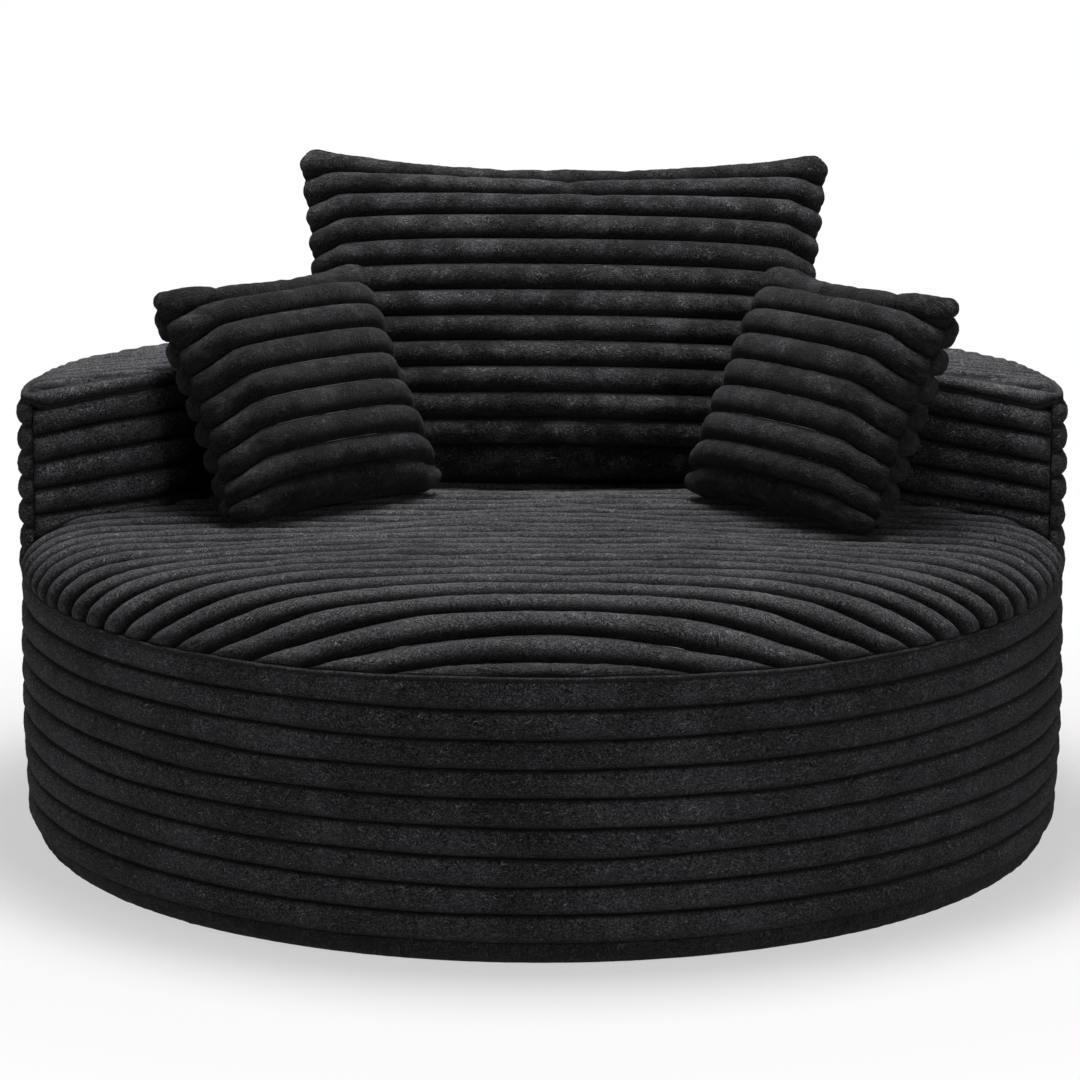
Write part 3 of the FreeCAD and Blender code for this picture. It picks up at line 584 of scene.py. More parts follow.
def makeSeatTop():
    length = seatLength["front"] + seatLength["rear"]
    count = round(length / channels["pitch"])
    rows = channelRows(0, count)
    travelled = rows / count * length - seatRibs["narrowing"] * rows * np.exp(1 - rows)
    rows = rows[:, None]
    b = np.where(travelled < seatLength["front"], travelled / seatLength["front"] - 1,
                 (travelled - seatLength["front"]) / seatLength["rear"])
    b = np.clip(b, -1, 1)[:, None]
    columns = np.linspace(-1, 1, drum["columns"])
    stretch = 0.985 * math.pi / 2
    a = np.sqrt(1 - b ** 2) * (np.sin(columns * stretch) / math.sin(stretch))
    inside = eased((1 - np.hypot(a, b)) / seatRibs["calmRim"])
    b = b + waved(3, a * 3.6 + rows * 0.8, 1.9, seatRibs["wander"]) * inside
    points = seatPoint(a, b)
    rim = (1 - np.hypot(a, b)) * seatLength["front"]
    relief = endRounded(np.clip(rim, 0, None) + 0.0012, seatRibs["rimRound"])
    tuck = np.exp(-(np.abs(points[..., 0] + 0.01) / seatRibs["tuckHalf"]) ** 4)
    tuck = tuck * np.exp(-((rows - 0.55) / 0.5) ** 2)
    relief = relief * (1 - seatRibs["tuckDepth"] * tuck)
    top = sheetOf(points, (0, 0, 1), rows, relief, 1.0 + seatRibs["tuckRuffle"] * tuck,
                  points[..., 0], rows * channels["pitch"])
    # The underside: rings from the seam in to the wall, then up under the crown
    loop = np.concatenate([points[:, 0], points[-2:0:-1, -1]])
    angle = np.arctan2(loop[:, 1], loop[:, 0])
    rings = [loop]
    for share in (1.0, 0.999, 0.993, 0.97, 0.92, 0.8, 0.6, 0.35, 0.1, 0.0):
        x, y = around(drum["wallRadius"] * share, angle)
        rings.append(gridOf(x, y, seatHeight(x, y, drum["coverDepth"]) if share < 1 else drum["seam"]))
    rings = np.stack(rings)
    rings[..., 2] = np.maximum(rings[..., 2], drum["seam"])
    under = sheetOf(rings, (0, 0, -1), wrap=(False, True))
    plushPiece("seatTopCover", [top, under], plush["seat"], "root", ["seat_top_panel"], 0.8, seed=2.0,
               channel_depth=seatRibs["depth"], groove_cut=seatRibs["groove"], clump_depth=seatRibs["clumps"])


seatBag = {"gap": 0.003, "floor": 0.0095, "drop": 0.017, "shoulder": 0.318, "columns": 120}


def makeSeatBag():
    # The lining bag with its fibre and soft foam
    wall = drum["wallRadius"] - seatBag["gap"]
    angle = np.linspace(0, 2 * math.pi, seatBag["columns"], endpoint=False)
    rings = [(wall * share, seatBag["floor"]) for share in (0.0, 0.3, 0.6, 0.9, 1.0)]
    points = [gridOf(*around(radius, angle), z) for radius, z in rings + [(wall, 0.15), (wall, 0.28)]]
    for share in (1.0, 0.985, 0.96, 0.92, 0.86, 0.75, 0.6, 0.4, 0.2, 0.0):
        x, y = around(wall * share, angle)
        z = seatHeight(x * 0.98, y * 0.98, seatBag["drop"]) if share < 1 else seatBag["shoulder"]
        points.append(gridOf(x, y, z))
    points = np.stack(points)
    sheet = sheetOf(points, points - (0, 0, 0.2), wrap=(False, True))
    plushPiece("seatFilledBag", [sheet], finishes["lining"], "root",
               ["seat_inner_liner", "seat_fibre_wrap", "seat_comfort_foam"], 0.9)


def lathe(section, columns):
    angle = np.linspace(0, 2 * math.pi, columns, endpoint=False)
    return gridOf(*around(section[:, :1], angle), section[:, 1:]), angle


def makeSeatSide():
    rows = channelRows(0, drum["sideChannels"])
    middle = drum["widest"] * drum["sideChannels"]
    radius = drum["grooveRadius"] - drum["barrel"] * ((rows - middle) / middle) ** 2 / 2
    z = drum["seam"] - seamGap - rows * channels["pitch"]
    inner = [(drum["wallRadius"], height) for height in (z[-1], (z[0] + z[-1]) / 2, z[0])]
    section = np.concatenate([np.stack([radius, z], -1), inner])
    points, angle = lathe(section, drum["sideColumns"])
    level = np.concatenate([rows, [rows[-1], 0, 0]])[:, None]
    outer = (np.arange(len(section)) < len(rows))[:, None] * 1.0
    sway = waved(11, angle * 3.0 + level * 0.55, 2.0, drum["sideSway"]) * outer
    points[..., 2] += sway * np.sin(np.clip(level / drum["sideChannels"], 0, 1) * math.pi)
    points[..., 2] += seamRise(points[..., 0], points[..., 1]) * np.exp(-level * 1.5)
    out = gridOf(*around(1.0, angle), 0.0) * outer[..., None]
    sheet = sheetOf(points, out, level, outer, outer, angle * drum["grooveRadius"], level * channels["pitch"],
                    wrap=(True, True))
    plushPiece("seatSideCover", [sheet], plush["side"], "root", ["seat_side_band"], 0.8, seed=5.0,
               arch_power=drum["sideFlatness"], groove_cut=drum["sideGroove"])


def zipPlace(joint):
    # Where a joint of a zip is: its point, its axis and how far it turns
    found = next(j for j in frame["joints"] if j["name"] == joint)
    return np.array(found["pos_m"]), np.array(found["axis"]), abs(found["range_deg"][0])


zipRoom = {
    "pin": 0.0058,  # height of the pull tab's pin over the coil
    "floor": 0.0017,
    "halfWidth": 0.0135,
    "ends": 0.031,
    "pile": 0.004,  # how far beyond the pressed strip the pile stays low
}


def zipArc(name):
    base, axis, travel = zipPlace(name + "_zip_slide")
    pin = zipPlace(name + "_zip_pull_flip")[0] - base
    out = pin - (pin @ axis) * axis
    half = math.radians(travel) / 2
    reach = np.linalg.norm(out)
    aside = np.cross(axis, out)
    return base, axis, reach - zipRoom["pin"], half, (out * math.cos(half) - aside * math.sin(half)) / reach


def zipTrough(points, name, floor=0.0, margin=0.0):
    # Presses the cover down along a zip, and tells where it did and where the pile has to stay low
    base, axis, radius, half, middle = zipArc(name)
    away = points - base
    level = away @ axis
    flat = away - level[..., None] * axis
    reach = np.linalg.norm(flat, axis=-1)
    angle = np.abs(np.arctan2(flat @ np.cross(axis, middle), flat @ middle))

    def near(more):
        wide = np.abs(level) < zipRoom["halfWidth"] + more
        return wide & (angle < half + (zipRoom["ends"] + more) / radius)
    wanted = radius - zipRoom["floor"] - floor
    wanted = np.minimum(reach, wanted) if floor else wanted
    factor = np.where(near(margin), wanted / np.maximum(reach, 1e-9), 1.0)
    return base + level[..., None] * axis + flat * factor[..., None], near(zipRoom["pile"])


hem = {
    "rows": 18,
    "columns": 900,
    "pucker": 0.0022,
    "tapeMargin": 0.0004,
    "zipStart": 8.0,  # degrees behind the drum's sides
    "fade": 0.006,
}


def makeSeatBottom():
    flat = drum["grooveRadius"] - drum["barrel"] - drum["hemHeight"]
    high, wall, thick = (drum[key] for key in ("hemHeight", "wallRadius", "baseThickness"))
    turn = np.linspace(math.pi / 2, 0, hem["rows"])
    roll = [(flat + high * math.sin(a), high - high * math.cos(a)) for a in turn]
    base = [(flat * share, 0.0) for share in (0.97, 0.9, 0.75, 0.5, 0.25, 0.0)]
    inner = [(0.0, thick)] + [(wall * share, thick) for share in (0.3, 0.6, 0.9, 1.0)] + [(wall, high)]
    section = np.array(roll + base + inner)
    points, angle = lathe(section, hem["columns"])
    height = section[:, 1:]
    rolled = (np.arange(len(section)) < hem["rows"])[:, None] * 1.0
    amount = rolled * np.sin(np.clip((height - 0.001) / high, 0, 1) ** 0.7 * math.pi)
    pucker = waved(21, angle, 190.0, 1.0) * 0.6 + waved(22, angle, 77.0, 1.0) * 0.5
    pucker = pucker * (0.6 + 0.4 * np.sin(angle * 13 + 0.15 * np.sin(angle * 31)))
    direction = gridOf(*around(1.0, angle), 0.0)
    points = points + direction * (amount * pucker * hem["pucker"])[..., None]
    # Flat along the zip behind
    tapeLow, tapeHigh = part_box("seat_zip_tape")
    half = (tapeHigh.z - tapeLow.z) / 2 + hem["tapeMargin"]
    middle = (tapeHigh.z + tapeLow.z) / 2
    inArc = np.abs(np.angle(np.exp(1j * (angle - math.pi / 2)))) < math.pi / 2 - math.radians(hem["zipStart"])
    radius = np.hypot(points[..., 0], points[..., 1])
    inBand = (np.abs(points[..., 2] - middle) < half) & inArc & (radius > tapeHigh.y - 0.002)
    wanted = np.where(inBand, tapeHigh.y - zipRoom["floor"], radius)
    points[..., :2] *= (wanted / np.maximum(radius, 1e-9))[..., None]
    fluffy = np.where(inBand, 0.0, rolled * np.clip(height / hem["fade"], 0, 1))
    sheet = sheetOf(points, direction * rolled[..., None], 0.5, 0.0, fluffy, angle * flat,
                    np.linspace(0, 0.05, len(section))[:, None], wrap=(True, True))
    plushPiece("seatBaseCover", [sheet], plush["side"], "root", ["seat_bottom_panel"], 0.7, seed=7.0)


welt = {"columns": 900, "sides": 10, "waver": 0.0006, "sway": 0.0009, "fluffy": 0.4}


def makeWelt():
    low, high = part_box("seat_top_welt")
    tube = (high.z - low.z) / 2
    angle = np.linspace(0, 2 * math.pi, welt["columns"], endpoint=False)
    turn = np.linspace(0, 2 * math.pi, welt["sides"], endpoint=False)[:, None]
    middle = high.x - tube + waved(31, angle, 9.0, welt["waver"])
    level = (high.z + low.z) / 2 + waved(32, angle, 14.0, welt["sway"]) + seamRise(*around(high.x, angle))
    points = gridOf(*around(middle + tube * np.cos(turn), angle), level + tube * np.sin(turn))
    out = gridOf(*around(np.cos(turn), angle), np.sin(turn))
    sheet = sheetOf(points, out, 0.5, 0.0, welt["fluffy"], angle * high.x, turn * tube, wrap=(True, True))
    plushPiece("seatWelt", [sheet], plush["side"], "root", ["seat_top_welt"], None, seed=9.0)


makeSeatTop()
makeSeatBag()
makeSeatSide()
makeSeatBottom()
makeWelt()
print("seat made")

# Bolster

bolster = {
    "tipY": -0.090,
    "endAngle": 25.0,
    "cornerRadius": 0.200,
    "coveHalfWidth": 0.376,
    "coveBackY": 0.398,
    "coveCornerRadius": 0.170,
    "topMiddle": 0.584,
    "topFall": 0.036,
    "topTilt": 0.062,
    "roll": 0.010,  # how far the top's edge lies inside the faces
    "faceRollDepth": (0.018, 0.008),  # at the drum's side and at the cove
    "sideRollDepth": 0.006,
    "facePitch": (0.0319, 0.0349),
    "sidePitch": 0.0312,
    "wall": 0.012,
    "lip": 0.012,
    "corner": 0.017,  # radius of the upright corners in front
    "seamAngle": 72.0,  # how far round that corner the side's cover reaches
    "pathStep": 0.005,
    "topColumns": 49,
    "sideColumns": 460,
    "topRound": 0.012,
    "sway": 0.0018,
    "fade": 0.006,  # over this height the pile ends at a band's lower edge
    "thinning": 0.03,  # over this length a band's wall thins out at its upright seams
    "overRibs": 0.75,  # share of the seat's channel depth at which the faces end
    "leastFace": 0.05,
    "frontFrom": 0.02,  # in front of this the side's lower edge rises with the seat
    "frontSpan": 0.05,
    "frontRise": 0.6,
}
bolsterRibs = {"channel_depth": 0.0120, "groove_cut": 0.6, "arch_power": 2.0, "clump_depth": 0.0009,
               "swell_share": 0.2}
bandRibs = {"groove_cut": 0.45}
bolsterBag = {"inset": 0.016, "columns": 17, "everyRow": 6, "gap": 0.026, "lowest": 0.34}


def bolsterTop(x, y, drop=0.0):
    share = np.hypot(x, y) / drum["grooveRadius"]
    return bolster["topMiddle"] - bolster["topFall"] * share ** 2 - bolster["topTilt"] * y - drop


def inwardShare(x, y):
    return np.clip((drum["grooveRadius"] - np.hypot(x, y)) / 0.18, 0, 1)


def faceRoll(x, y):
    outer, inner = bolster["faceRollDepth"]
    return outer + (inner - outer) * inwardShare(x, y)


def arcPoints(centre, radius, first, last, count):
    return centre + np.stack(around(radius, np.radians(np.linspace(first, last, count))), -1)


def innerPath(inset):
    # From the right corner along the front face and round the cove to its middle, all moved in by the inset
    step = bolster["pathStep"]
    turn = math.radians(bolster["endAngle"])
    along = np.array([-math.cos(turn), math.sin(turn)])
    inward = np.array([math.sin(turn), math.cos(turn)])
    corner = np.array([math.sqrt(drum["grooveRadius"] ** 2 - bolster["tipY"] ** 2), bolster["tipY"]])
    start = corner + inward * inset
    outer = drum["grooveRadius"] - inset
    reach = start @ along
    tip = start + along * (-reach - math.sqrt(reach ** 2 - start @ start + outer ** 2))
    radius = bolster["cornerRadius"]
    front = corner + inward * radius
    front = front + along * ((bolster["coveHalfWidth"] + radius - front[0]) / along[0])
    lineEnd = front - inward * (radius - inset)
    cove = np.array([bolster["coveHalfWidth"] - bolster["coveCornerRadius"],
                     bolster["coveBackY"] - bolster["coveCornerRadius"]])
    wide = bolster["coveCornerRadius"] + inset

    def line(a, b):
        count = max(2, int(np.hypot(*(b - a)) / step) + 1)
        return a + (b - a) * np.linspace(0, 1, count)[:, None]
    armX = bolster["coveHalfWidth"] + inset
    parts = [line(tip, lineEnd),
             arcPoints(front, radius - inset, 270 - bolster["endAngle"], 180, int(radius * 1.13 / step)),
             line(np.array([armX, front[1]]), np.array([armX, cove[1]])),
             arcPoints(cove, wide, 0, 90, int(wide * 1.57 / step)),
             line(np.array([cove[0], cove[1] + wide]), np.array([0.0, cove[1] + wide]))]
    path = np.concatenate(parts)
    fresh = np.hypot(*np.diff(path, axis=0).T) > 1e-6
    return path[np.concatenate([[True], fresh])]


def mirrored(right):
    return np.concatenate([right, right[-2::-1] * (-1, 1)])


def cornerArc(first, last, count):
    centre = innerPath(bolster["corner"])[0]
    start = math.degrees(math.atan2(centre[1], centre[0]))
    return arcPoints(centre, bolster["corner"], start - first, start - last, count), centre


def frontArcEnd():
    centre = innerPath(bolster["corner"])[0]
    return math.degrees(math.atan2(centre[1], centre[0])) + 90 + bolster["endAngle"]


def facePath():
    # From the upright seam at the right corner round the cove to the one at the left corner
    arc, centre = cornerArc(bolster["seamAngle"], frontArcEnd(), 9)
    path = innerPath(0.0)
    turn = math.radians(bolster["endAngle"])
    along = np.array([-math.cos(turn), math.sin(turn)])
    return mirrored(np.concatenate([arc, path[(path - centre) @ along > 0.002]]))


def sidePath():
    arc, centre = cornerArc(0.0, bolster["seamAngle"], 22)
    low = math.atan2(centre[1], centre[0])
    angle = np.linspace(math.pi - low, low, bolster["sideColumns"])
    path = np.stack(around(drum["grooveRadius"], angle), -1)
    return np.concatenate([(arc * (-1, 1))[::-1], path[1:-1], arc])


def leftNormals(path, closed):
    before = np.roll(path, 1, 0)
    after = np.roll(path, -1, 0)
    if not closed:
        before[0] = path[0]
        after[-1] = path[-1]
    run = after - before
    run = run / np.maximum(np.hypot(run[:, 0], run[:, 1]), 1e-9)[:, None]
    return np.stack([-run[:, 1], run[:, 0]], -1)


def pathLengths(path):
    return np.concatenate([[0], np.cumsum(np.hypot(*np.diff(path, axis=0).T))])


def bolsterBlocks(inset, columns, everyRow=1):
    # Two arms and the part behind the cove, as grids of x and y with their channel rows
    path = innerPath(inset)
    outer = drum["grooveRadius"] - inset
    backY = bolster["coveBackY"] + inset
    rising = path[path[:, 1] < backY - 1e-6]
    rising = np.concatenate([rising, [[bolster["coveHalfWidth"] - bolster["coveCornerRadius"], backY]]])
    marks, ys = evenRows(bolsterTop, bolster["tipY"] - 0.040, drum["grooveRadius"] + 0.020)
    marks, ys = marks[::everyRow], ys[::everyRow]

    def between(low, high):
        inside = (ys > low + 0.0006) & (ys < high - 0.0006)
        y = np.concatenate([[low], ys[inside], [high]])
        return y, np.interp(y, ys, marks)
    armY, armRows = between(rising[0, 1] + 0.0025, backY)
    backYs, backRows = between(backY, outer)
    innerX = np.interp(armY, rising[:, 1], rising[:, 0])
    outerX = np.sqrt(np.clip(outer ** 2 - armY ** 2, 0, None))
    spread = (1 - np.cos(np.linspace(0, math.pi, columns))) / 2
    armX = innerX[:, None] + (outerX - innerX)[:, None] * spread
    reach = np.sqrt(np.clip(outer ** 2 - backYs ** 2, 0, None))
    breakX = innerX[-1] * reach / reach[0]
    middle = np.linspace(-1, 1, round(columns * 1.4))[1:-1]
    breakX, reach = breakX[:, None], reach[:, None]
    wing = breakX + (reach - breakX) * spread
    backX = np.concatenate([-wing[:, ::-1], breakX * middle, wing], 1)
    return [(armX, armY, armRows), (-armX, armY, armRows), (backX, backYs, backRows)], columns, len(middle)


def surfaceOf(x, y, height):
    y = y[:, None]
    return gridOf(x, y, height(x, y))


def bolsterLoop(blocks, columns, middle, height):
    # The outline of the three blocks as one closed line
    right, left, back = (surfaceOf(x, y, height) for x, y, _ in blocks)
    first, last = columns - 1, columns + middle
    loop = np.concatenate([right[:, 0], back[0, last - 1:first:-1], left[::-1, 0], left[0, 1:-1],
                           left[:, -1], back[1:, 0], back[-2:0:-1, -1], right[::-1, -1], right[0, -2:0:-1]])
    return loop[np.hypot(*(loop - np.roll(loop, 1, 0))[:, :2].T) > 1e-6]


def makeBolsterTop():
    inset = bolster["roll"]
    outer = drum["grooveRadius"] - inset
    blocks, columns, middle = bolsterBlocks(inset, bolster["topColumns"])
    edge = mirrored(innerPath(inset))[::2]
    sheets = []

    def lower(x, y):
        return bolsterTop(x, y, faceRoll(x, y))
    for x, y, row in blocks:
        row = row[:, None]
        points = surfaceOf(x, y, bolsterTop)
        flat = points[..., :2].reshape(-1, 1, 2) - edge
        distance = np.min(np.hypot(flat[..., 0], flat[..., 1]), 1).reshape(x.shape)
        distance = np.minimum(distance, outer - np.hypot(x, points[..., 1]))
        relief = endRounded(np.clip(distance, 0, None), bolster["topRound"])
        sheets.append(sheetOf(points, (0, 0, 1), row, relief, 1.0, x, row * channels["pitch"]))
        sheets.append(sheetOf(surfaceOf(x, y, lower), (0, 0, -1)))
    # Its edge rolls down to the seams, less over the drum's side than over the faces
    loop = bolsterLoop(blocks, columns, middle, bolsterTop)
    outward = leftNormals(loop[:, :2], True)
    onSide = eased((np.hypot(loop[:, 0], loop[:, 1]) - (outer - 0.012)) / 0.011)
    roll = faceRoll(loop[:, 0], loop[:, 1])
    depth = roll + (bolster["sideRollDepth"] - roll) * onSide
    levels = np.array([0.0, 0.06, 0.18, 0.34, 0.5, 0.66, 0.82, 0.94, 1.0])
    rings = []
    for turn in levels * math.pi / 2:
        ring = loop.copy()
        ring[:, :2] += outward * inset * math.sin(turn)
        ring[:, 2] -= depth * (1 - math.cos(turn))
        rings.append(ring)
    levels = 100 + levels[:, None]
    sheets.append(sheetOf(np.stack(rings), gridOf(*outward.T, 0.5), levels, 0.85 - 0.4 * onSide, 1.0,
                          pathLengths(loop[:, :2]), levels * 0.03, wrap=(False, True)))
    low = gridOf(loop[:, 0], loop[:, 1], lower(loop[:, 0], loop[:, 1]))
    sheets.append(sheetOf(np.stack([rings[-1], low]), (0, 0, -1), wrap=(False, True)))
    plushPiece("bolsterTopCover", sheets, plush["bolsterTop"], "root", ["bolster_top_panel"], 0.8, seed=13.0,
               **bolsterRibs)


def makeBolsterBag():
    # The stuffed bag inside the covers
    gap = bolsterBag["gap"]
    blocks, columns, middle = bolsterBlocks(*(bolsterBag[key] for key in ("inset", "columns", "everyRow")))

    def upper(x, y):
        return bolsterTop(x, y, gap)

    def lower(x, y):
        return np.maximum(seatHeight(x, y), bolsterBag["lowest"]) + gap
    sheets = []
    for x, y, _ in blocks:
        sheets.append(sheetOf(surfaceOf(x, y, upper), (0, 0, 1)))
        sheets.append(sheetOf(surfaceOf(x, y, lower), (0, 0, -1)))
    rings = np.stack([bolsterLoop(blocks, columns, middle, height) for height in (upper, lower)])
    outward = leftNormals(rings[0, :, :2], True)
    sheets.append(sheetOf(rings, gridOf(*outward.T, 0.0), wrap=(False, True)))
    plushPiece("bolsterFilledBag", sheets, finishes["lining"], "root",
               ["bolster_inner_liner", "bolster_fibre_wrap", "bolster_core_foam"], 0.9)


def bandSheet(path, top, bottom, pitch, zipName=None):
    # An upright band of channels from its top seam down to its lower edge, with its wall
    outward = leftNormals(path, False)
    travel = pathLengths(path)
    ends = np.minimum(travel, travel[-1] - travel)
    rows = channelRows(0, float(np.max((top - bottom) / pitch)))[:, None]
    sway = waved(61, travel * 9.0 + rows * 0.7, 1.5, bolster["sway"]) * np.clip(rows, 0, 1)
    held = np.maximum(top - rows * pitch + sway, bottom)
    over = np.clip((held - bottom) / bolster["fade"], 0.0, 1.0)
    relief = endRounded(ends) * over
    fluffy = over
    outer = gridOf(*path.T, held)
    if zipName:
        outer, low = zipTrough(outer, zipName)
        relief = np.where(low, 0.0, relief)
        fluffy = np.where(low, 0.0, fluffy)
    thick = bolster["wall"] * eased(ends / bolster["thinning"])
    inner = gridOf(*(path - outward * thick[:, None]).T, held)[::-1]
    marks = np.repeat([1.0, 0.0], len(rows))[:, None]
    both = np.concatenate([rows, rows[::-1]])
    out = gridOf(*outward.T, 0.0) * marks[..., None]
    return sheetOf(np.concatenate([outer, inner]), out, both, np.concatenate([relief, relief * 0]),
                   np.concatenate([fluffy, fluffy * 0]), travel, both * pitch, wrap=(True, False))


def makeBolsterInner():
    path = facePath()
    x, y = path.T
    top = bolsterTop(x, y, faceRoll(x, y) + seamGap)
    bottom = seatHeight(x, y) + ribs["Channel Depth"] * bolster["overRibs"]
    bottom = np.minimum(bottom, top - bolster["leastFace"])
    outer, inner = bolster["facePitch"]
    sheet = bandSheet(path, top, bottom, outer + (inner - outer) * inwardShare(x, y))
    plushPiece("bolsterInnerCover", [sheet], plush["bolster"], "root", ["bolster_inner_band"], 0.8, seed=17.0,
               **bandRibs)


def makeBolsterOuter():
    path = sidePath()
    top = bolsterTop(path[:, 0], path[:, 1], bolster["sideRollDepth"] + seamGap)
    bottom = np.full(len(path), drum["seam"] + bolster["lip"])
    inFront = eased((bolster["frontFrom"] - path[:, 1]) / bolster["frontSpan"])
    bottom = bottom + inFront * (seatHeight(*(path * 0.985).T) - bottom) * bolster["frontRise"]
    sheet = bandSheet(path, top, bottom, bolster["sidePitch"], "bolster")
    plushPiece("bolsterOuterCover", [sheet], plush["bolster"], "root", ["bolster_outer_band"], 0.8, seed=19.0,
               **bandRibs)


makeBolsterTop()
makeBolsterInner()
makeBolsterOuter()
makeBolsterBag()
print("bolster made")

# Pillows: inflated as cloth from two flat sheets, then channelled

throwLook = {
    "size": (0.300, 0.288, 0.150),
    "channels": 9,
    "grid": (34, 32),
    "fine": 96,
    "fill": 0.85,
    "draw": (0.016, 0.018, 0.012),
    "grow": (0.010, 0.012, 0.010),
    "belly": 0.04,
    "base": 3.0,
    "roll": 0.0,
    "slack": -0.012,
    "plush": "throwPillow",
}
pillowLook = {
    "back_pillow": {
        "size": (0.656, 0.386, 0.196),
        "channels": 13,
        "grid": (56, 36),  # points of each cloth sheet
        "fine": 170,  # points along a channel
        "fill": 0.75,
        "draw": (0.024, 0.037, 0.000),  # how far the middles of sides, top and foot are drawn in
        "grow": (0.008, 0.026, 0.020),  # how far its ears go out, up and down
        "belly": 0.10,  # how much thicker the foot is
        "base": 4.0,  # higher is blunter at the foot
        "roll": -0.012,
        "slack": -0.004,
        "plush": "backPillow",
        "sink": 0.008,
        "seed": 41.0,
    },
    "left_pillow": {**throwLook, "sink": 0.013, "seed": 43.0},
    "right_pillow": {**throwLook, "sink": 0.014, "seed": 47.0},
}
puff = {"sides": 2.8, "top": 2.6, "fullness": 0.52, "waist": 3, "sag": 5, "start": 0.90}
cloth = {
    "quality": 6,
    "mass": 0.35,
    "stretch": 22.0,
    "shear": 12.0,
    "bend": 1.2,
    "damping": 12.0,
    "pressure": 1.6,
    "frames": 24,
}


def puffed(look, u, v, share=1.0):
    # The waist and the sag pull the middles of the edges in; only the outer channels follow them
    width, height, thickness = (s / 2 for s in look["size"])
    waist, sagTop, sagLow = look["draw"]
    side, top, low = look["grow"]
    x = u * (width + side) - np.sign(u) * waist * (1 - v ** 2) * np.abs(u) ** puff["waist"]
    z = v * (height + np.where(v > 0, top, low))
    z = z - np.sign(v) * np.where(v > 0, sagTop, sagLow) * (1 - u ** 2) * np.abs(v) ** puff["sag"]
    full = np.where(v > 0, puff["top"], look["base"])
    rise = ((1 - np.abs(u) ** puff["sides"]) * (1 - np.abs(v) ** full)).clip(0) ** puff["fullness"]
    return np.stack([x, thickness * share * rise * (1 - look["belly"] * v), z], -1)


def inflated(name, points, quads, rim):
    mesh = bpy.data.meshes.new(name + "Flat")
    mesh.from_pydata(points.tolist(), [], quads.tolist())
    mesh.update()
    sewn = added(name + "Flat", mesh)
    sewn.vertex_groups.new(name="rim").add(np.nonzero(rim)[0].tolist(), 1.0, "REPLACE")
    modifier = sewn.modifiers.new("cloth", "CLOTH")
    settings = modifier.settings
    settings.vertex_group_mass = "rim"
    settings.shrink_min = pillowLook[name]["slack"]
    settings.quality = cloth["quality"]
    settings.mass = cloth["mass"]
    settings.tension_stiffness = settings.compression_stiffness = cloth["stretch"]
    settings.shear_stiffness = cloth["shear"]
    settings.bending_stiffness = cloth["bend"]
    settings.tension_damping = settings.compression_damping = cloth["damping"]
    settings.use_pressure = True
    settings.uniform_pressure_force = cloth["pressure"]
    settings.effector_weights.gravity = 0.0
    modifier.collision_settings.use_collision = False
    modifier.collision_settings.use_self_collision = False
    modifier.point_cache.frame_end = cloth["frames"]
    scene = bpy.context.scene
    for step in range(cloth["frames"]):
        scene.frame_set(step + 1)
    graph = bpy.context.evaluated_depsgraph_get()
    result = sewn.evaluated_get(graph).data
    found = np.zeros(len(result.vertices) * 3, np.float32)
    result.vertices.foreach_get("co", found)
    bpy.data.objects.remove(sewn)
    scene.frame_set(1)
    return found.reshape(-1, 3).astype(float)


def pillowForm(name):
    # Front and back half as grids of points, the same along the rim where they are sewn together
    look = pillowLook[name]
    columns, rows = look["grid"]
    u, v = np.meshgrid(np.linspace(-1, 1, columns), np.linspace(-1, 1, rows))
    back = puffed(look, u, v, puff["start"]).reshape(-1, 3)
    rim = ((np.abs(u) == 1) | (np.abs(v) == 1)).ravel()
    index = np.arange(rows * columns)
    backIndex = index.copy()
    backIndex[~rim] = len(index) + np.arange((~rim).sum())
    points = np.concatenate([back * (1, -1, 1), back[~rim]])
    index, backIndex = index.reshape(u.shape), backIndex.reshape(u.shape)
    quads = np.concatenate([quadsOf(index), quadsOf(backIndex)[:, ::-1]])
    found = inflated(name, points, quads, rim)
    size = found.max(0) - found.min(0)
    print("inflated", name, "to", np.round(size, 3))
    found[:, 1] *= look["size"][2] / size[1]
    return found[index], found[backIndex]


def resampled(grid, rows, columns):
    def along(values, places):
        count = len(values)
        places = np.clip(places, 0, 1) * (count - 1)
        first = np.clip(np.floor(places).astype(int), 0, count - 2)
        t = (places - first)[:, None, None]
        return curved([values[np.clip(first + k, 0, count - 1)] for k in (-1, 0, 1, 2)], t)
    tall = along(grid, rows)
    return along(tall.transpose(1, 0, 2), columns).transpose(1, 0, 2)


def pillowAxes(name):
    up = zipPlace(name + "_zip_slide")[1]
    yaw = math.atan2(-up[0], up[1])
    right = np.array([math.cos(yaw), math.sin(yaw), 0.0])
    low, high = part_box(name + "_fill")
    return np.stack([right, np.cross(up, right), up]), np.array((low + high) / 2)


pillowRibs = {"channel_depth": 0.0095, "groove_cut": 0.55, "arch_power": 2.0}
pillowRest = {"clearance": 0.002, "soft": 0.004, "fade": 0.012, "least": 0.25, "leastFluffy": 0.4}
pillowEnds = {
    "corner": 0.026,
    "reach": 0.045,  # over this length from its ends a channel bulges and hangs
    "bulge": 0.007,
    "draw": 0.002,
    "hang": 0.009,
    "round": 0.010,
}
pillowInner = {
    "Case": {"node": "_inner_case", "finish": "lining", "share": 0.945, "clearance": 0.0175, "trough": 0.004},
    "Fill": {"node": "_fill", "finish": "polyester_fibre", "share": 0.925, "clearance": 0.0195,
             "trough": 0.008},
}
troughMargin = 0.018
pillowSpread = 1.35  # higher crowds the points more towards the sides


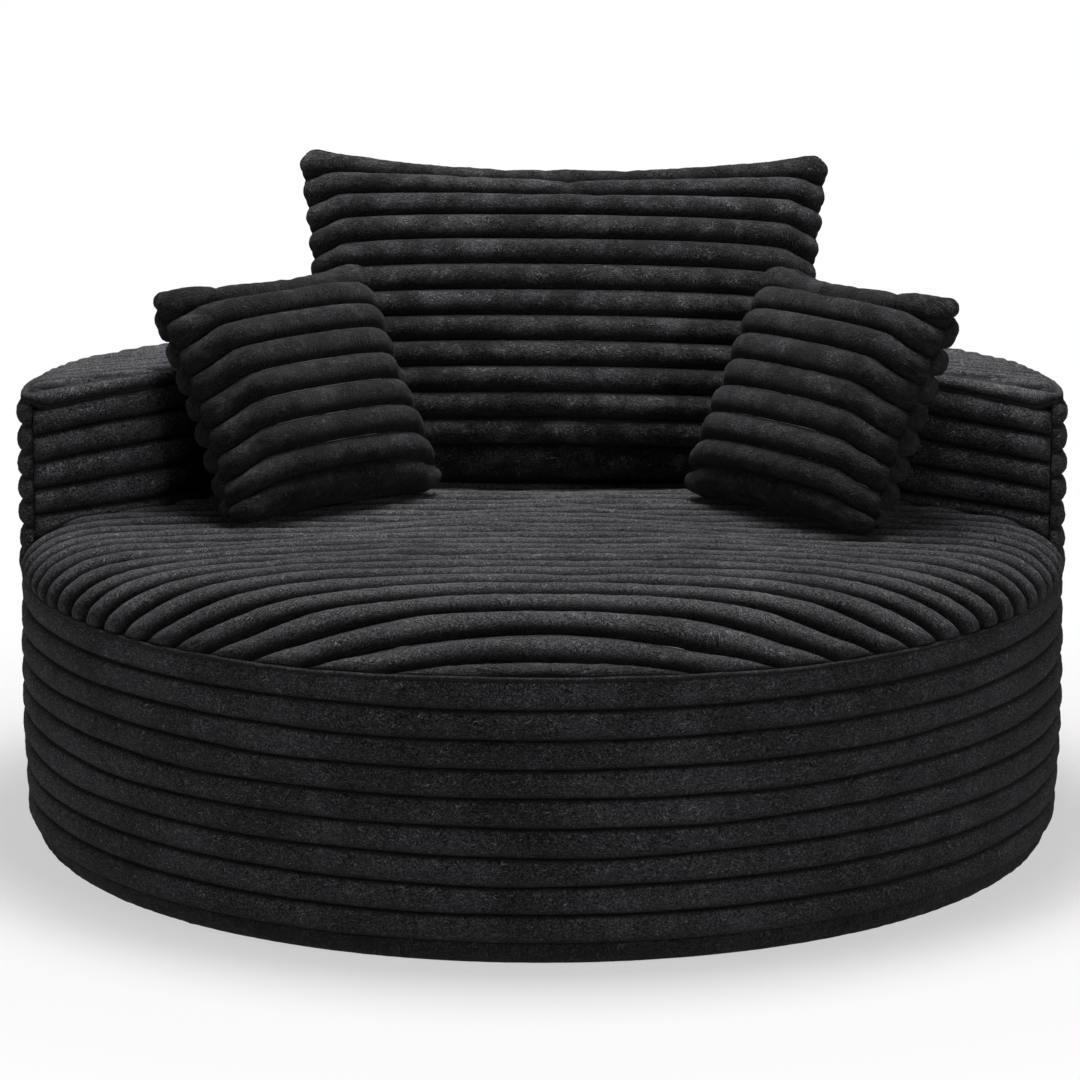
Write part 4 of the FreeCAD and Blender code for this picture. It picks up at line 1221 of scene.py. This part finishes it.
def rested(points, clearance):
    # Flattens what would reach into the seat, and tells how free of it each point is
    soft = pillowRest["soft"]
    floor = seatHeight(points[..., 0], points[..., 1]) + ribs["Channel Depth"] + clearance
    points[..., 2] = floor + soft * np.logaddexp(0, (points[..., 2] - floor) / soft)
    return eased((points[..., 2] - floor - soft) / pillowRest["fade"])


def cornersRounded(points, fromSide, fromEnd):
    # The square corner block becomes a quarter disc
    reach = pillowEnds["corner"]
    sides = [np.sign(points[..., 0]), np.sign(points[..., 2])]
    a = np.clip(1 - fromSide / reach, 0, 1)
    b = np.clip(1 - fromEnd / reach, 0, 1)
    points[..., 0] += sides[0] * (a * np.sqrt(1 - b ** 2 / 2) - a) * reach
    points[..., 2] += sides[1] * (b * np.sqrt(1 - a ** 2 / 2) - b) * reach
    return points


def pillowCover(name, half, side, phase, rows, axes, middle):
    look = pillowLook[name]
    width, height = look["size"][:2]
    v = rows / look["channels"]
    u = np.sin(np.linspace(-1, 1, look["fine"]) * pillowSpread) / math.sin(pillowSpread)
    u = (u + 1) / 2
    rows = rows[:, None]
    fromSide = np.minimum(u, 1 - u)[None, :] * width
    fromEnd = np.minimum(v, 1 - v)[:, None] * height
    points = cornersRounded(resampled(half, v, u), fromSide, fromEnd)
    # Each channel's end bulges past the seam and hangs a little
    end = eased(1 - fromSide / pillowEnds["reach"])
    bulge = np.abs(np.sin(math.pi * rows)) ** 0.6 * pillowEnds["bulge"] - pillowEnds["draw"]
    points[..., 0] += np.sign(points[..., 0]) * end ** 2 * bulge * eased(fromEnd / 0.02)
    points[..., 2] -= end * pillowEnds["hang"] * eased(fromEnd / 0.05)
    points[..., 2] += look["roll"] * points[..., 0]
    relief = endRounded(fromSide, pillowEnds["round"]) * endRounded(fromEnd + 0.001, pillowEnds["round"])
    world = points @ axes + middle
    loose = rested(world, pillowRest["clearance"])
    relief = relief * (pillowRest["least"] + (1 - pillowRest["least"]) * loose)
    fluffy = pillowRest["leastFluffy"] + (1 - pillowRest["leastFluffy"]) * loose
    if side > 0:
        world, low = zipTrough(world, name)
        relief = np.where(low, 0.0, relief)
        fluffy = np.where(low, 0.0, fluffy)
    return sheetOf(world, axes[1] * side, rows + phase, relief, fluffy, u * width, rows * channels["pitch"])


def makePillow(name):
    look = pillowLook[name]
    front, back = pillowForm(name)
    axes, middle = pillowAxes(name)
    middle = middle - (0, 0, look["sink"])
    steps = channels["steps"]
    rows = [[k + s, k + (s + 0.5) % 1] for k in range(look["channels"]) for s in steps]
    rows = np.unique(np.concatenate(rows))
    apart = np.concatenate([[True], np.diff(rows) > 0.012])
    rows = np.append(rows[apart], look["channels"])
    sheets = [pillowCover(name, front, -1, 0.0, rows, axes, middle),
              pillowCover(name, back, 1, 40.5, rows, axes, middle)]
    camel = name.split("_")[0] + "Pillow"
    for kind, inner in pillowInner.items():
        stuffed = []
        for half, side in ((front, -1), (back, 1)):
            points = resampled(half, np.linspace(0, 1, 25), np.linspace(0, 1, 31))
            world = (points * inner["share"]) @ axes + middle
            rested(world, inner["clearance"])
            if side > 0:
                world = zipTrough(world, name, inner["trough"], troughMargin)[0]
            stuffed.append(sheetOf(world, axes[1] * side))
        plushPiece(camel + kind, stuffed, finishes[inner["finish"]], name, [name + inner["node"]],
                   look["fill"])
    plushPiece(camel + "Cover", sheets, plush[look["plush"]], name,
               [name + "_front_panel", name + "_back_panel"], look["fill"], seed=look["seed"], **pillowRibs)


for pillowName in pillowLook:
    makePillow(pillowName)
print("pillows made")


# Floor and light

studio = {
    "reach": 12.0,
    "white": 0.9,
    "bounce": 0.15,  # how bright the floor is for the light that it throws back
    "shadow": 0.55,
    "shadowSpan": (0.62, 1.35),
    "sky": 0.07,
}
lights = {
    "topSoft": {"spot": (0.05, 0.0, 2.4), "aim": (0.0, 0.0, 0.3), "size": (1.2, 0.9), "power": 60.0},
    "rightSoft": {"spot": (2.6, -4.2, 2.0), "aim": (0.0, 0.0, 0.35), "size": (1.3, 1.3), "power": 38.0},
    "leftSoft": {"spot": (-3.6, -2.6, 1.5), "aim": (-0.5, 0.0, 0.4), "size": (0.9, 0.9), "power": 20.0},
}


def addStage():
    mesh = bpy.data.meshes.new("floor")
    reach = studio["reach"]
    mesh.from_pydata([(-reach, -reach, 0), (reach, -reach, 0), (reach, reach, 0), (-reach, reach, 0)],
                     [], [(0, 1, 2, 3)])
    floor = added("floor", mesh)
    material, tree, shader = newMaterial("floorWhite")
    shader.inputs["Roughness"].default_value = 0.9
    shader.inputs["Specular IOR Level"].default_value = 0.0
    ray = tree.nodes.new("ShaderNodeLightPath").outputs
    seen = calc(tree, "ADD", ray["Is Camera Ray"], ray["Is Glossy Ray"])
    seen = calc(tree, "MINIMUM", 1.0, calc(tree, "ADD", seen, ray["Is Transmission Ray"]))
    # The camera sees white that thins out near the chair, so that its shadow stays
    spot = tree.nodes.new("ShaderNodeTexCoord").outputs["Object"]
    away = place(tree, "ShaderNodeVectorMath", {0: spot}, operation="LENGTH").outputs["Value"]
    share = ranged(tree, away, *studio["shadowSpan"], studio["shadow"], 1.0)
    level = calc(tree, "MULTIPLY_ADD", seen, studio["white"] - studio["bounce"], studio["bounce"])
    grey = place(tree, "ShaderNodeCombineColor", {0: level, 1: level, 2: level})
    tree.links.new(grey.outputs[0], shader.inputs["Base Color"])
    glow = place(tree, "ShaderNodeEmission", {"Color": (1, 1, 1, 1), "Strength": 1.0})
    pick = place(tree, "ShaderNodeMixShader", {
        0: calc(tree, "MULTIPLY", seen, share), 1: shader.outputs[0], 2: glow.outputs[0]})
    tree.links.new(pick.outputs[0], tree.nodes["Material Output"].inputs[0])
    mesh.materials.append(material)
    world = bpy.data.worlds.new("studio")
    bpy.context.scene.world = world
    world.use_nodes = True
    tree = world.node_tree
    back = tree.nodes["Background"]
    ray = tree.nodes.new("ShaderNodeLightPath").outputs
    back.inputs["Color"].default_value = (1, 1, 1, 1)
    strength = calc(tree, "MULTIPLY_ADD", ray["Is Camera Ray"], 1 - studio["sky"], studio["sky"])
    tree.links.new(strength, back.inputs["Strength"])


def addLight(name, spot, aim, size, power):
    data = bpy.data.lights.new(name, "AREA")
    data.shape = "RECTANGLE"
    data.size, data.size_y = size
    data.energy = power
    lamp = added(name, data)
    lamp.location = spot
    lamp.rotation_euler = (Vector(aim) - Vector(spot)).to_track_quat("-Z", "Y").to_euler()


addStage()
for lightName, light in lights.items():
    addLight(lightName, **light)

print("scene done")
